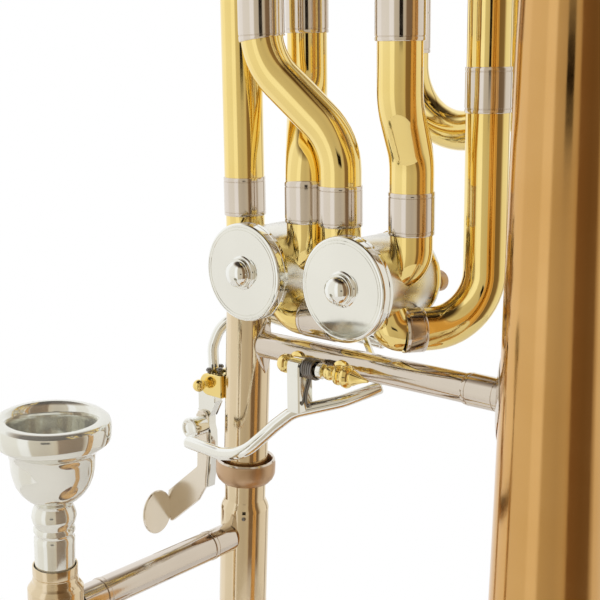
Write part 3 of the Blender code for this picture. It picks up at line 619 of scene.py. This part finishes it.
def make_f_loop():
    """The riser with the big bend under valve 2, and the loop's lower and upper bows."""
    path = route([((*PORT_MOUTH, PORT_LOW_Z), 0), ((*F_RISER, PORT_LOW_Z), 19.5), ((*F_RISER, RISER_TOP), 0)])
    tube("f_loop_riser_tube", path, ["f_loop_riser"])
    ferrule("f_loop_riser_low_ferrule", path, 0, 7.5)
    ferrule("f_loop_riser_ferrule", path, length(path) - (RISER_TOP - 412), 15.4)

    reach = (F_BACK[0] - F_INNER[0]) / 2
    corners = [((*F_INNER, LOOP_TOP), 0), ((*F_INNER, LOWER_BOW_Z), reach)]
    corners += [((*F_BACK, LOWER_BOW_Z), reach), ((*F_BACK, RISER_TOP), 0)]
    path = route(corners)
    tube("f_loop_lower_bow_tube", path, ["f_loop_lower_bow"])
    ferrule("f_loop_lower_bow_sleeve", path, 0, LOOP_TOP - 431, radius=SLEEVE_R)
    ring = [(8.18, -0.25), (8.32, 0), (8.18, 0.25)]
    piece("f_loop_lower_bow_ring", lathe(ring, FINE), "nickel_silver", ROOT, (), place(*F_INNER, 446))

    span = (Vector(F_RISER) - Vector(F_BACK)).length / 2
    low = RISER_TOP + GAP
    top = 530 + span
    path = route([((*F_RISER, low), 0), ((*F_RISER, top), span), ((*F_BACK, top), span), ((*F_BACK, low), 0)])
    tube("f_loop_upper_bow_tube", path, ["f_loop_upper_bow"])
    ferrule("f_loop_upper_bow_front_ferrule", path, 0, 12)
    ferrule("f_loop_upper_bow_back_ferrule", path, length(path) - 12, 12)


def make_tuning_slides():
    """The bows of the two loops: slim legs inside the sleeves, and a full bow above them."""
    leg = SLIDE_LEG_TOP - SLIDE_LEG_LOW
    for name, body, first, second in (
        ("f_tuning_slide", "f_slide_bow", F_RETURN, F_INNER),
        ("second_tuning_slide", "second_slide_bow", SECOND_IN, SECOND_OUT),
    ):
        span = (Vector(first) - Vector(second)).length / 2
        top = SLIDE_LEG_TOP + span
        corners = [((*first, SLIDE_LEG_LOW), 0), ((*first, top), span)]
        corners += [((*second, top), span), ((*second, SLIDE_LEG_LOW), 0)]
        path = route(corners)
        total = length(path)
        half = [(0, LEG_R), (leg - 7.3, LEG_R), (leg - 7.2, 7.55)]
        stations = half + [(total - d, r) for d, r in reversed(half)]
        piece(name + "_bow", sweep(path, stations, FINE), "lacquered_brass", body, [name])
        ferrule(name + "_first_ferrule", path, leg - 7.2, 8, body=body, radius=7.85)
        ferrule(name + "_second_ferrule", path, total - leg - 0.8, 8, body=body, radius=7.85)


def make_main_slide():
    """The two receivers, the main bow that slides in them, and a stay on each."""
    for name, x, low_z, outer, bore, node in (
        ("main_receiver_valve", RISER_X, 526, 8.6, 7.7, "main_receiver_valve_side"),
        ("main_receiver_bell", 0.0, 528, 12.2, 11.4, "main_receiver_bell_side"),
    ):
        line = outer - 0.25
        wall = [(outer - 0.35, low_z), (outer, low_z + 0.3), (outer, MAIN_TOP - 2.8), (line, MAIN_TOP - 2.6)]
        wall += [(line, MAIN_TOP - 2.2), (outer, MAIN_TOP - 2), (outer, MAIN_TOP - 0.3),
                 (outer - 0.3, MAIN_TOP)]
        wall += [(bore, MAIN_TOP), (bore, low_z)]
        piece(name + "_sleeve", lathe(wall, 64, closed=True), "nickel_silver", ROOT, [node], place(x, 0, 0))
    stay_z = MAIN_TOP - 8
    stay = [Vector((RISER_X + 8.9, 0, stay_z)), Vector((-12.5, 0, stay_z))]
    brace("upper_stay_rod", stay, 3.6, 5.4, ["upper_stay"], ROOT)

    span = -RISER_X / 2
    top = MAIN_TOP + 10 + span
    path = route([((RISER_X, 0, 546), 0), ((RISER_X, 0, top), span), ((0, 0, top), span),
                  ((0, 0, 548), 0)])
    total = length(path)
    stations = [(0, 7.45), (47, 7.45), (47.2, 7.95), (58, 7.95)]
    stations += [(total - 58, 11.35), (total - 47.2, 11.35), (total - 45, 11.05), (total, 11.05)]
    piece("main_bow_tube", sweep(path, stations, 64), "lacquered_brass", "main_slide_bow",
          ["main_tuning_slide"])
    stay_z = MAIN_TOP + 8
    stay = [Vector((RISER_X + 8.9, 0, stay_z)), Vector((-12.3, 0, stay_z))]
    brace("main_bow_stay", stay, 3.2, 4.4, ["tuning_slide_stay"], "main_slide_bow")


# -------- braces and feet

def foot(name, radius_at, thickness, middle, half_height, half_angle, direction, nodes, at=None):
    """A thin leaf with pointed ends that hugs a tube."""
    bm = bmesh.new()
    rings = []
    steps = 40
    across = 16
    for k in range(steps + 1):
        share = 2.0 * k / steps - 1.0
        z = middle + half_height * share
        spread = half_angle * max(0.03, (1.0 - abs(share) ** 1.5) ** 0.9)
        inner = radius_at(z)
        sides = [2.0 * n / across - 1.0 for n in range(across + 1)]
        ring = [(inner, direction + spread * side) for side in sides]
        for side in reversed(sides):
            lift = thickness * (1.0 - 0.75 * abs(side) ** 6) * (1.0 - 0.6 * abs(share) ** 10)
            ring.append((inner + lift, direction + spread * side))
        rings.append([bm.verts.new((r * math.cos(a), r * math.sin(a), z)) for r, a in ring])
    for first, second in zip(rings, rings[1:]):
        bridge(bm, first, second)
    bm.faces.new(rings[0])
    bm.faces.new(rings[-1])
    piece(name, bm, "nickel_silver", ROOT, nodes, at)


def make_braces():
    """The hand brace with its banded sleeve and two feet, and the stay from the F loop to the bell."""
    thin = 5.1
    band = 5.62
    line = 5.4
    left = NECK.x + math.tan(TILT) * (BRACE_Z - NECK.z) + 8.8
    right = -bell_radius(BRACE_Z) - 0.3
    path = [Vector((left, 0, BRACE_Z)), Vector((right, 0, BRACE_Z))]
    total = length(path)
    sleeve = total - 14.5
    stations = [(0, thin), (sleeve - 0.1, thin), (sleeve, 5.45), (sleeve + 0.8, band), (sleeve + 1.6, band)]
    stations += [(sleeve + 1.7, line), (sleeve + 2.0, line), (sleeve + 2.1, band), (total - 2.6, band)]
    stations += [(total - 2.5, line), (total - 2.2, line), (total - 2.1, band), (total, band)]
    piece("hand_brace_rod", sweep(path, stations, FINE), "nickel_silver", ROOT, ["hand_brace"])
    foot("hand_brace_bell_leaf", lambda z: bell_radius(z) + 0.05, 1.0, BRACE_Z, 19,
         math.radians(44), math.pi, ["hand_brace_foot_bell"])
    foot("hand_brace_neck_leaf", lambda z: 8.66, 0.8, BRACE_Z - NECK.z, 11.0,
         math.radians(34), math.radians(4), ["hand_brace_foot_neck"], SLIDE)

    toward = Vector((-F_RISER[0], -F_RISER[1], 0)).normalized()
    z = 486.0
    start = Vector((*F_RISER, z)) + toward * (TUBE_R + 0.1)
    finish = Vector((0, 0, z)) - toward * (bell_radius(z) + 0.1)
    brace("loop_stay_rod", [start, finish], 2.6, 4.2, ["loop_stay"], ROOT)


# -------- triggers

def ball_post(name, x, radius, node):
    """A round-headed post that hangs from the hand brace."""
    top = -THUMB.y - 5.2
    profile = ball(radius) + [(1.7, radius + 0.1), (1.9, top - 2.0), (3.2, top - 1.2), (3.3, top), (0, top)]
    here = place(THUMB.x + x, THUMB.y, THUMB.z, TURN_Y)
    piece(name, lathe(profile, MEDIUM), "lacquered_brass", ROOT, [node], here)


def make_thumb_hinge():
    """The two posts with their screws, the hinge pin, its bush and the coil spring."""
    ball_post("thumb_left_post", -9.6, 2.9, "thumb_post_left")
    ball_post("thumb_right_post", 11.0, 2.7, "thumb_post_right")
    hinge = place(*THUMB, TURN_X)
    head = [(0, -12.4), (1.6, -12.3), (2.9, -11.6), (3.5, -10.4), (3.5, -9.0), (2.6, -8.2), (1.5, -7.8),
            (0, -7.8)]
    piece("thumb_left_screw", lathe(head, MEDIUM), "lacquered_brass", ROOT, (), hinge)
    finial = [(1.2, 13.4), (2.2, 13.6), (2.9, 14.3), (3.6, 14.8), (3.6, 15.9), (2.7, 16.3), (2.2, 16.9),
              (3.0, 17.6)]
    finial += [(3.9, 18.3), (4.1, 19.4), (3.3, 20.4), (2.5, 20.9), (2.9, 21.5), (2.2, 22.9), (1.1, 25.6),
               (0.5, 28.0), (0, 28.6)]
    piece("thumb_right_finial", lathe(rounded(finial, 0.5), MEDIUM), "lacquered_brass", ROOT, (), hinge)
    rod = [Vector((THUMB.x - 8.5, THUMB.y, THUMB.z)), Vector((THUMB.x + 9, THUMB.y, THUMB.z))]
    piece("thumb_hinge_pin", sweep(rod, [(0, 1.25), (17.5, 1.25)]), "silver_plate", ROOT, ["thumb_hinge_rod"])
    bush = [(1.3, 5.9), (2.6, 6.0), (2.8, 6.3), (2.8, 8.1), (2.6, 8.4), (1.3, 8.5)]
    piece("thumb_hinge_bush", lathe(bush, MEDIUM, closed=True), "silver_plate", ROOT, (), hinge)

    turns = 5
    coil = []
    for k in range(turns * 20 + 1):
        angle = math.tau * k / 20
        shift = 0.3 + 5.0 * k / (turns * 20)
        coil.append(THUMB + Vector((shift, 3.35 * math.cos(angle), 3.35 * math.sin(angle))))
    tail = ((1.6, -4.0, -13.2), (0.8, -4.3, -14.0), (0.0, -4.2, -12.6), (-0.2, -3.6, -9.5),
            (-0.1, -1.6, -5.0))
    wire = [coil[0] + Vector(point) for point in tail] + coil
    piece("thumb_coil_spring", sweep(wire, [(0, 0.52), (length(wire), 0.52)], 10), "dark_steel", ROOT,
          ["thumb_spring"])


def make_thumb_lever():
    """A square block that hangs on the hinge, and the bent rod that the thumb presses."""
    outline = [(-3.9, -16.5), (3.9, -16.5), (3.9, 0.5), (3.4, 2.2), (1.9, 3.0), (-1.9, 3.0), (-3.4, 2.2),
               (-3.9, 0.5)]
    spots = [(THUMB.y + a, THUMB.z + b) for a, b in outline]
    bm = slab(spots, THUMB.x - 6.3, THUMB.x - 0.3, "YZ", 0.5)
    corners = [((-49.9, -13, -35.4), 0), ((-31.8, -13, -36.2), 14), ((-20.6, -12.4, -34.0), 16),
               ((-10.6, -5.6, -22.6), 16)]
    corners += [((-5.5, -1.5, -17.4), 12), ((8.0, 10.0, -13.5), 20), ((18.0, 21.0, -8.5), 0)]
    path = [THUMB + point for point in route(corners)]
    join(bm, sweep(path, [(0, 2.4), (length(path), 2.4)], MEDIUM, dome=1.1))
    piece("thumb_lever_arm", bm, "silver_plate", "thumb_trigger", ["thumb_lever"])


def make_finger_hinge():
    """The brass fork on the neckpipe, its ball-headed screw and three small dark screws."""
    x, y, z = FINGER
    bm = bmesh.new()
    for low, high in ((-5.5, -2.75), (2.75, 5.5)):
        spots = [(x + 9.0, z - 4.5)]
        for k in range(25):
            turn = math.radians(270 - 7.5 * k)
            spots.append((x + 1.5 + 4.5 * math.cos(turn), z + 4.5 * math.sin(turn)))
        spots.append((x + 9.0, z + 4.5))
        join(bm, slab(spots, y + low, y + high, "XZ", 0.4))
    web = [(5.5, 4.4), (7.6, 4.4), (7.6, -4.4), (5.5, -4.4)]
    join(bm, slab([(x + a, z + b) for a, b in web], y - 3.2, y + 3.2, "XZ", 0.2))
    piece("finger_hinge_fork", bm, "lacquered_brass", ROOT, ["finger_hinge_block"])
    screw = ball(2.5, -8.6) + [(1.5, -6.2), (1.5, 5.6), (0, 5.6)]
    here = place(x, y, z, TURN_Y)
    piece("finger_hinge_ball_screw", lathe(screw, MEDIUM), "lacquered_brass", ROOT,
          ["finger_hinge_screw"], here)
    for index, (dx, dy) in enumerate(((1.5, -4.2), (4.6, -1.5), (1.2, 2.4))):
        nib = [(0, 6.6), (0.9, 6.5), (1.3, 6.0), (1.3, 5.4), (0.8, 5.1), (0.8, 4.2), (0, 4.2)]
        here = place(x + dx, y + dy, z)
        piece("finger_fork_nib_%d" % (index + 1), lathe(nib, 16), "dark_steel", ROOT, (), here)


def make_finger_lever():
    """A knuckle in the fork with the rod above it and the flat plate below."""
    x, y, z = FINGER
    knuckle = [(0, -2.4), (3.0, -2.4), (3.3, -2.1), (3.3, 2.1), (3.0, 2.4), (0, 2.4)]
    bm = lathe(knuckle, MEDIUM)
    bmesh.ops.transform(bm, matrix=place(x, y, z, TURN_Y), verts=bm.verts)
    corners = [((0, 0, 2), 0), ((-0.5, 0, 14), 12), ((2.5, 3.5, 26), 12), ((13, 15.5, 26), 12),
               ((30, 16.5, 24), 20)]
    corners += [((50, 23.0, 22.5), 20), ((67, 23.5, 21.5), 0)]
    path = [FINGER + point for point in route(corners)]
    join(bm, sweep(path, [(0, 2.2), (length(path), 2.2)], MEDIUM, dome=1.0))
    outline = [(-8.7, -4.0), (-2.6, -3.4), (1.2, -3.4), (0.8, -8.6), (-1.6, -13.0), (-2.9, -15.4),
               (-3.0, -19.0), (-2.2, -22.0)]
    outline += [(-2.1, -32.0), (-4.6, -46.0), (-8.8, -47.4), (-8.6, -33.5), (-8.2, -22.0), (-6.8, -18.6),
                (-6.6, -15.8), (-8.8, -12.6)]
    spots = [(x + a, z + b) for a, b in rounded(outline, 0.8, closed=True, steps=3)]
    join(bm, slab(spots, y - 1.1, y + 3.2, "XZ", 0.35))
    piece("finger_lever_arm", bm, "silver_plate", "finger_trigger", ["finger_lever"])


def make_finger_touch():
    """The bent touch strip with its oval pad, and the screw that holds it."""
    x, y, z = FINGER
    outline = [(-8.2, -13), (-2.8, -13), (-2.6, -30), (-4.6, -45.5), (-9.0, -52.2), (-27.6, -67.6),
               (-27.6, -53.2), (-8.6, -37.6), (-8.2, -31)]
    spots = [(x + a, z + b) for a, b in rounded(outline, 2.0, closed=True, steps=5)]
    bm = slab(spots, y - 2.6, y - 1.3, "XZ", 0.3)
    turns = [math.tau * k / 40 for k in range(40)]
    pad = [(y - 9.4 + 7.7 * math.cos(turn), z - 59.8 + 9.4 * math.sin(turn)) for turn in turns]
    join(bm, slab(pad, x - 27.6, x - 26.3, "YZ", 0.4))
    piece("finger_touch_plate", bm, "touch_silver", "finger_trigger", ["finger_touch"])
    screw = [(0, -10.2), (2.2, -10.2), (2.6, -10.0), (3.2, -10.5), (3.9, -10.5), (4.4, -10.0),
             (4.4, -8.6), (4.1, -8.3)]
    screw += [(3.9, -8.2), (3.9, -3.2), (1.4, -3.0), (1.4, -2.9), (0, -2.9)]
    here = place(x - 4.6, y, z - 18.5, TURN_Y)
    piece("finger_touch_screw", lathe(screw, FINE), "silver_plate", "finger_trigger", ["touch_screw"], here)


# -------- hand slide

def make_barrels():
    """The cork barrel on the neck side and the receiver barrel under the mouthpiece."""
    inner = "hand_slide_inner"
    barrel = [(8.1, -9.0), (8.1, -16.8), (8.35, -17.6), (9.2, -19.4), (BARREL_R, -20.8), (BARREL_R, -95.0)]
    barrel += [(9.3, BARREL_END), (8.9, BARREL_END), (8.9, -24), (7.4, -21), (7.4, -9.0)]
    bm = lathe(rounded(barrel, 1.0, closed=True), 64, closed=True)
    piece("cork_barrel_neck", bm, "neck_silver", inner, ["cork_barrel_neck_side"], SLIDE)
    # A small dark disc stands in for the vent hole: painted shade of the hole, not a part of the barrel.
    vent_shade_disc = [(0, 0.25), (0.5, 0.2), (0.85, 0)]
    here = facing(SLIDE @ Vector((6.35, -7.2, -22.4)), (0.66, -0.75, 0.05))
    piece("cork_barrel_vent_shade_disc", lathe(vent_shade_disc, 20), "dark_steel", inner, (), here)
    receiver = [(7.15, -12.5), (7.5, -12.3), (7.75, -12.6), (7.75, -15.8), (7.45, -16.3), (7.45, -16.9)]
    receiver += [(7.75, -17.3), (7.8, -18.7), (8.6, -19.6), (BARREL_R, -21.0), (BARREL_R, -95.0)]
    receiver += [(9.3, BARREL_END), (8.9, BARREL_END), (8.9, -46), (7.15, -44)]
    bm = lathe(rounded(receiver, 0.5, closed=True), 64, closed=True)
    piece("mouthpiece_barrel", bm, "neck_silver", inner, ["mouthpiece_receiver_barrel"], MOUTH_LEG)


def make_inner_slide():
    """The two inner tubes, the slide brace and the lock ring."""
    inner = "hand_slide_inner"
    for name, at, top in (("neck", SLIDE, -8.0), ("mouthpiece", MOUTH_LEG, -46.5)):
        wall = [(7.0, top), (7.0, INNER_TUBE_END), (6.4, INNER_TUBE_END), (6.4, top)]
        bm = lathe(wall, FINE, closed=True)
        piece("inner_tube_" + name, bm, "nickel_silver", inner, ["inner_tube_%s_side" % name], at)
    z = -31.5
    path = [SLIDE @ Vector((0, -9.5, z)), SLIDE @ Vector((0, 9.5 - LEG_SPACING, z))]
    total = length(path)
    thick = 5.62
    line = 5.42
    band = 5.85
    half = [(0, thick), (9.4, thick), (9.5, line), (9.9, line), (10.0, band), (11.2, band), (11.3, line)]
    half += [(11.7, line), (11.8, thick)]
    stations = half + [(total - d, r) for d, r in reversed(half)]
    piece("slide_brace_rod", sweep(path, stations, FINE), "nickel_silver", inner, ["slide_brace"])
    ring = [(9.95, -92), (10.7, -92), (10.9, -91.7), (10.9, -82.3), (10.7, -82)]
    bm = lathe(rounded(ring, 0.2) + [(9.95, -82)], 120, closed=True)
    piece("slide_lock_collar", bm, "nickel_silver", "lock_ring", ["slide_lock_ring"], SLIDE)


def make_mouthpiece():
    """The turned cup and shank, outside from the rim down and inside back up."""
    cup = [(16.9, 40.8), (18.2, 40.5), (19.2, 39.7), (19.62, 38.4), (19.62, 34.6), (19.3, 33.2),
           (18.3, 32.2), (16.4, 31.0)]
    cup += [(14.9, 29.2), (14.2, 26.6), (14.0, 23.0), (13.5, 20.2), (12.6, 17.4), (11.2, 15.0),
            (9.2, 12.8), (7.4, 11.4)]
    cup += [(6.6, 10.5), (6.4, 9.6), (6.7, 8.9), (7.3, 7.4), (7.6, 5.6), (7.3, 3.8), (6.7, 2.6),
            (6.5, 1.9), (7.0, 1.2)]
    cup += [(7.05, 0.2), (6.6, -0.5), (6.5, -1.6), (6.9, -2.4), (6.95, -4.0), (6.85, -12.0), (5.9, -38.0)]
    inside = [(5.0, -38.0), (3.5, 4.0), (3.9, 8.0), (4.8, 10.8), (6.6, 13.0), (8.8, 15.2), (10.7, 18.4),
              (12.0, 22.4)]
    inside += [(12.9, 27.0), (13.4, 32.0), (13.7, 36.0), (14.1, 38.6), (14.9, 40.2), (15.8, 40.8)]
    bm = lathe(cup + inside, 120, closed=True)
    piece("mouthpiece_cup", bm, "mouth_silver", "mouthpiece_body", ["mouthpiece"], MOUTH_LEG)


def make_outer_slide():
    """The two outer tubes, the grip brace, and the crook with its bumper."""
    outer = "hand_slide_outer"
    top = OUTER_TUBE_TOP
    end = CROOK_TOP + 0.3
    for name, at in (("neck", SLIDE), ("mouthpiece", MOUTH_LEG)):
        wall = [(7.3, top), (8.3, top), (8.5, top - 0.3), (8.5, top - 35.4), (8.3, top - 35.9),
                (7.9, top - 36.2)]
        wall += [(7.9, end), (7.3, end)]
        bm = lathe(wall, FINE, closed=True)
        piece("outer_tube_" + name, bm, "lacquered_brass", outer, ["outer_tube_%s_side" % name], at)
        band = [(8.5, top - 0.6), (8.58, top - 0.8), (8.58, top - 5.4), (8.5, top - 5.6)]
        piece("outer_tube_%s_band" % name, lathe(band, FINE), "nickel_silver", outer, (), at)
    z = top - 21
    path = [SLIDE @ Vector((0, -8.7, z)), SLIDE @ Vector((0, 8.7 - LEG_SPACING, z))]
    brace("grip_brace_rod", path, 4.8, 6.2, ["grip_brace"], outer)
    reach = LEG_SPACING / 2
    low = CROOK_SPRING - reach
    corners = [((0, 0, CROOK_TOP), 0), ((0, 0, low), reach)]
    corners += [((0, -LEG_SPACING, low), reach), ((0, -LEG_SPACING, CROOK_TOP), 0)]
    path = [SLIDE @ point for point in route(corners)]
    tube("slide_crook_tube", path, ["slide_crook"], radius=8.05, body=outer)
    ferrule("slide_crook_neck_ferrule", path, 0, 12, body=outer, radius=8.55)
    ferrule("slide_crook_mouthpiece_ferrule", path, length(path) - 12, 12, body=outer, radius=8.55)
    tip = low - 8.4
    bumper = [(0, tip), (4.4, tip), (5.0, tip - 1.2), (5.2, tip - 3), (5.1, tip - 5.5), (4.6, tip - 7.8)]
    bumper += [(3.6, tip - 8.9), (0, tip - 9)]
    at = SLIDE @ Matrix.Translation((0, -reach, 0))
    piece("slide_bumper_knob", lathe(bumper, FINE), "rubber", outer, ["slide_bumper"], at)


def dress_kept_nodes():
    """CAD solids whose shape is kept get a soft edge and their own material."""
    kept = {
        "rotor_1": "rotor_metal",
        "stop_arm_1": "silver_plate", "stop_arm_2": "silver_plate",
        "link_1": "silver_plate", "link_2": "silver_plate",
        "water_key": "nickel_silver", "water_key_nipple": "nickel_silver",
        "water_key_saddle": "nickel_silver",
    }
    for name, mat in kept.items():
        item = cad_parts[name]
        item.data.materials.clear()
        item.data.materials.append(MATS[mat])
        soft = item.modifiers.new("soft_edge", "BEVEL")
        soft.width = 0.25 * MM
        soft.segments = 2
        soft.limit_method = "ANGLE"
        soft.angle_limit = math.radians(40)


# -------- stage

def make_world():
    """A white room with warm and dark panels, a dark pole and a dark ceiling, for the metal to reflect."""
    world = bpy.data.worlds.new("studio")
    bpy.context.scene.world = world
    world.use_nodes = True
    nodes = world.node_tree.nodes
    links = world.node_tree.links
    nodes.clear()
    where = nodes.new("ShaderNodeTexCoord")
    turn = nodes.new("ShaderNodeVectorRotate")
    turn.rotation_type = "Z_AXIS"
    turn.inputs["Angle"].default_value = math.radians(48.4)
    links.new(where.outputs["Generated"], turn.inputs["Vector"])
    axes = nodes.new("ShaderNodeSeparateXYZ")
    links.new(turn.outputs["Vector"], axes.inputs["Vector"])
    azimuth = nodes.new("ShaderNodeMath")
    azimuth.operation = "ARCTAN2"
    links.new(axes.outputs["Y"], azimuth.inputs[0])
    links.new(axes.outputs["X"], azimuth.inputs[1])
    share = nodes.new("ShaderNodeMath")
    share.operation = "MULTIPLY_ADD"
    share.inputs[1].default_value = 1 / math.tau
    share.inputs[2].default_value = 0.5
    links.new(azimuth.outputs["Value"], share.inputs[0])
    white = (1.0, 1.0, 1.0)
    round_the_room = [
        (-180, white), (-104, white), (-97, (0.90, 0.88, 0.84)), (-58, (0.88, 0.86, 0.80)),
        (-54, white), (-36, white), (-31, (0.64, 0.58, 0.47)), (-4, (0.57, 0.51, 0.41)),
        (12, (0.62, 0.55, 0.43)), (19, (0.60, 0.50, 0.36)), (23, (0.24, 0.15, 0.08)),
        (50, (0.20, 0.13, 0.07)), (69, (0.22, 0.15, 0.09)), (74, (0.46, 0.38, 0.28)),
        (84, (0.84, 0.80, 0.73)), (124, (0.90, 0.87, 0.82)), (130, (0.34, 0.26, 0.18)),
        (138, (0.86, 0.84, 0.80)), (160, white), (180, white),
    ]
    walls = ramp(nodes, [(rel / 360 + 0.5, colour) for rel, colour in round_the_room])
    links.new(share.outputs["Value"], walls.inputs["Fac"])

    pole = ramp(nodes, [
        (0.470, white), (0.476, (0.015, 0.01, 0.01)), (0.517, (0.02, 0.015, 0.01)), (0.523, white),
    ])
    links.new(share.outputs["Value"], pole.inputs["Fac"])
    height = nodes.new("ShaderNodeMapRange")
    height.inputs["From Min"].default_value = -1
    height.inputs["From Max"].default_value = 1
    links.new(axes.outputs["Z"], height.inputs["Value"])
    floor_to_ceiling = ramp(nodes, [
        (0.0, (0.86, 0.84, 0.82)), (0.28, (0.95, 0.94, 0.93)), (0.42, white), (0.84, white),
        (0.905, (0.40, 0.34, 0.28)), (0.94, (0.08, 0.06, 0.05)), (1.0, (0.06, 0.05, 0.04)),
    ])
    links.new(height.outputs["Result"], floor_to_ceiling.inputs["Fac"])
    pole_end = ramp(nodes, [(0.473, (0.0, 0.0, 0.0)), (0.485, white), (0.53, white), (0.56, (0.0, 0.0, 0.0))])
    links.new(height.outputs["Result"], pole_end.inputs["Fac"])
    standing = nodes.new("ShaderNodeMix")
    standing.data_type = "RGBA"
    standing.blend_type = "MULTIPLY"
    links.new(pole_end.outputs["Color"], standing.inputs["Factor"])
    links.new(walls.outputs["Color"], standing.inputs["A"])
    links.new(pole.outputs["Color"], standing.inputs["B"])
    room = nodes.new("ShaderNodeMix")
    room.data_type = "RGBA"
    room.blend_type = "MULTIPLY"
    room.inputs["Factor"].default_value = 1.0
    links.new(standing.outputs["Result"], room.inputs["A"])
    links.new(floor_to_ceiling.outputs["Color"], room.inputs["B"])
    seen = nodes.new("ShaderNodeLightPath")
    pick = nodes.new("ShaderNodeMix")
    pick.data_type = "RGBA"
    pick.inputs["B"].default_value = (1.0, 1.0, 1.0, 1.0)
    links.new(seen.outputs["Is Camera Ray"], pick.inputs["Factor"])
    links.new(room.outputs["Result"], pick.inputs["A"])
    background = nodes.new("ShaderNodeBackground")
    links.new(pick.outputs["Result"], background.inputs["Color"])
    output = nodes.new("ShaderNodeOutputWorld")
    links.new(background.outputs["Background"], output.inputs["Surface"])


def make_stage():
    """A pale round floor just under the bumper, and two soft lamps."""
    low = CAD_BOX[0][2] - 0.004
    bm = bmesh.new()
    bmesh.ops.create_circle(bm, cap_ends=True, segments=96, radius=1.3)
    mesh = bpy.data.meshes.new("studio_floor")
    bm.to_mesh(mesh)
    bm.free()
    floor = bpy.data.objects.new("studio_floor", mesh)
    floor.location = (-0.08, 0.0, low)
    bpy.context.scene.collection.objects.link(floor)
    pale = bpy.data.materials.new("pale_floor")
    pale.use_nodes = True
    shader = pale.node_tree.nodes["Principled BSDF"]
    shader.inputs["Base Color"].default_value = (0.90, 0.90, 0.90, 1.0)
    shader.inputs["Roughness"].default_value = 0.7
    shader.inputs["Emission Color"].default_value = (1.0, 1.0, 1.0, 1.0)
    shader.inputs["Emission Strength"].default_value = 0.12
    mesh.materials.append(pale)
    for name, spot, size, power in (
        ("key_light", (0.9, -1.2, 1.5), 1.2, 14.0),
        ("fill_light", (-1.4, -0.6, 1.2), 1.4, 8.0),
    ):
        lamp = bpy.data.lights.new(name, "AREA")
        lamp.shape = "DISK"
        lamp.size = size
        lamp.energy = power
        item = bpy.data.objects.new(name, lamp)
        item.location = spot
        aim = Vector((-0.08, 0, 0.1)) - Vector(spot)
        item.rotation_euler = aim.to_track_quat("-Z", "Y").to_euler()
        item.visible_glossy = False
        bpy.context.scene.collection.objects.link(item)


def make_camera():
    """A camera at the photo's angle, given by its yaw, its tilt downwards and a slight roll."""
    yaw = math.radians(41.572)
    pitch = math.radians(12.423)
    roll = math.radians(-0.692)
    back = Vector((math.sin(yaw) * math.cos(pitch), -math.cos(yaw) * math.cos(pitch), math.sin(pitch)))
    level = Vector((math.cos(yaw), math.sin(yaw), 0))
    rise = back.cross(level)
    right = level * math.cos(roll) + rise * math.sin(roll)
    up = rise * math.cos(roll) - level * math.sin(roll)
    turn = Matrix((right, up, back)).transposed().to_4x4()
    lens = bpy.data.cameras.new("photo_camera")
    lens.sensor_width = 36.0
    lens.lens = 71.76
    lens.clip_start = 0.02
    camera = bpy.data.objects.new("photo_camera", lens)
    camera.matrix_world = Matrix.Translation(Vector((179.6, -322.3, 437.8)) * MM) @ turn
    bpy.context.scene.collection.objects.link(camera)
    bpy.context.scene.camera = camera


make_world()
make_stage()
make_camera()
make_bell()
make_neck()
for valve in VALVE_X:
    make_valve(valve)
make_ports()
make_valve_2_inside()
make_riser_and_legs()
make_f_loop()
make_tuning_slides()
make_main_slide()
make_braces()
make_thumb_hinge()
make_thumb_lever()
make_finger_hinge()
make_finger_lever()
make_finger_touch()
make_barrels()
make_inner_slide()
make_mouthpiece()
make_outer_slide()
dress_kept_nodes()
bpy.context.scene.view_settings.view_transform = "Standard"
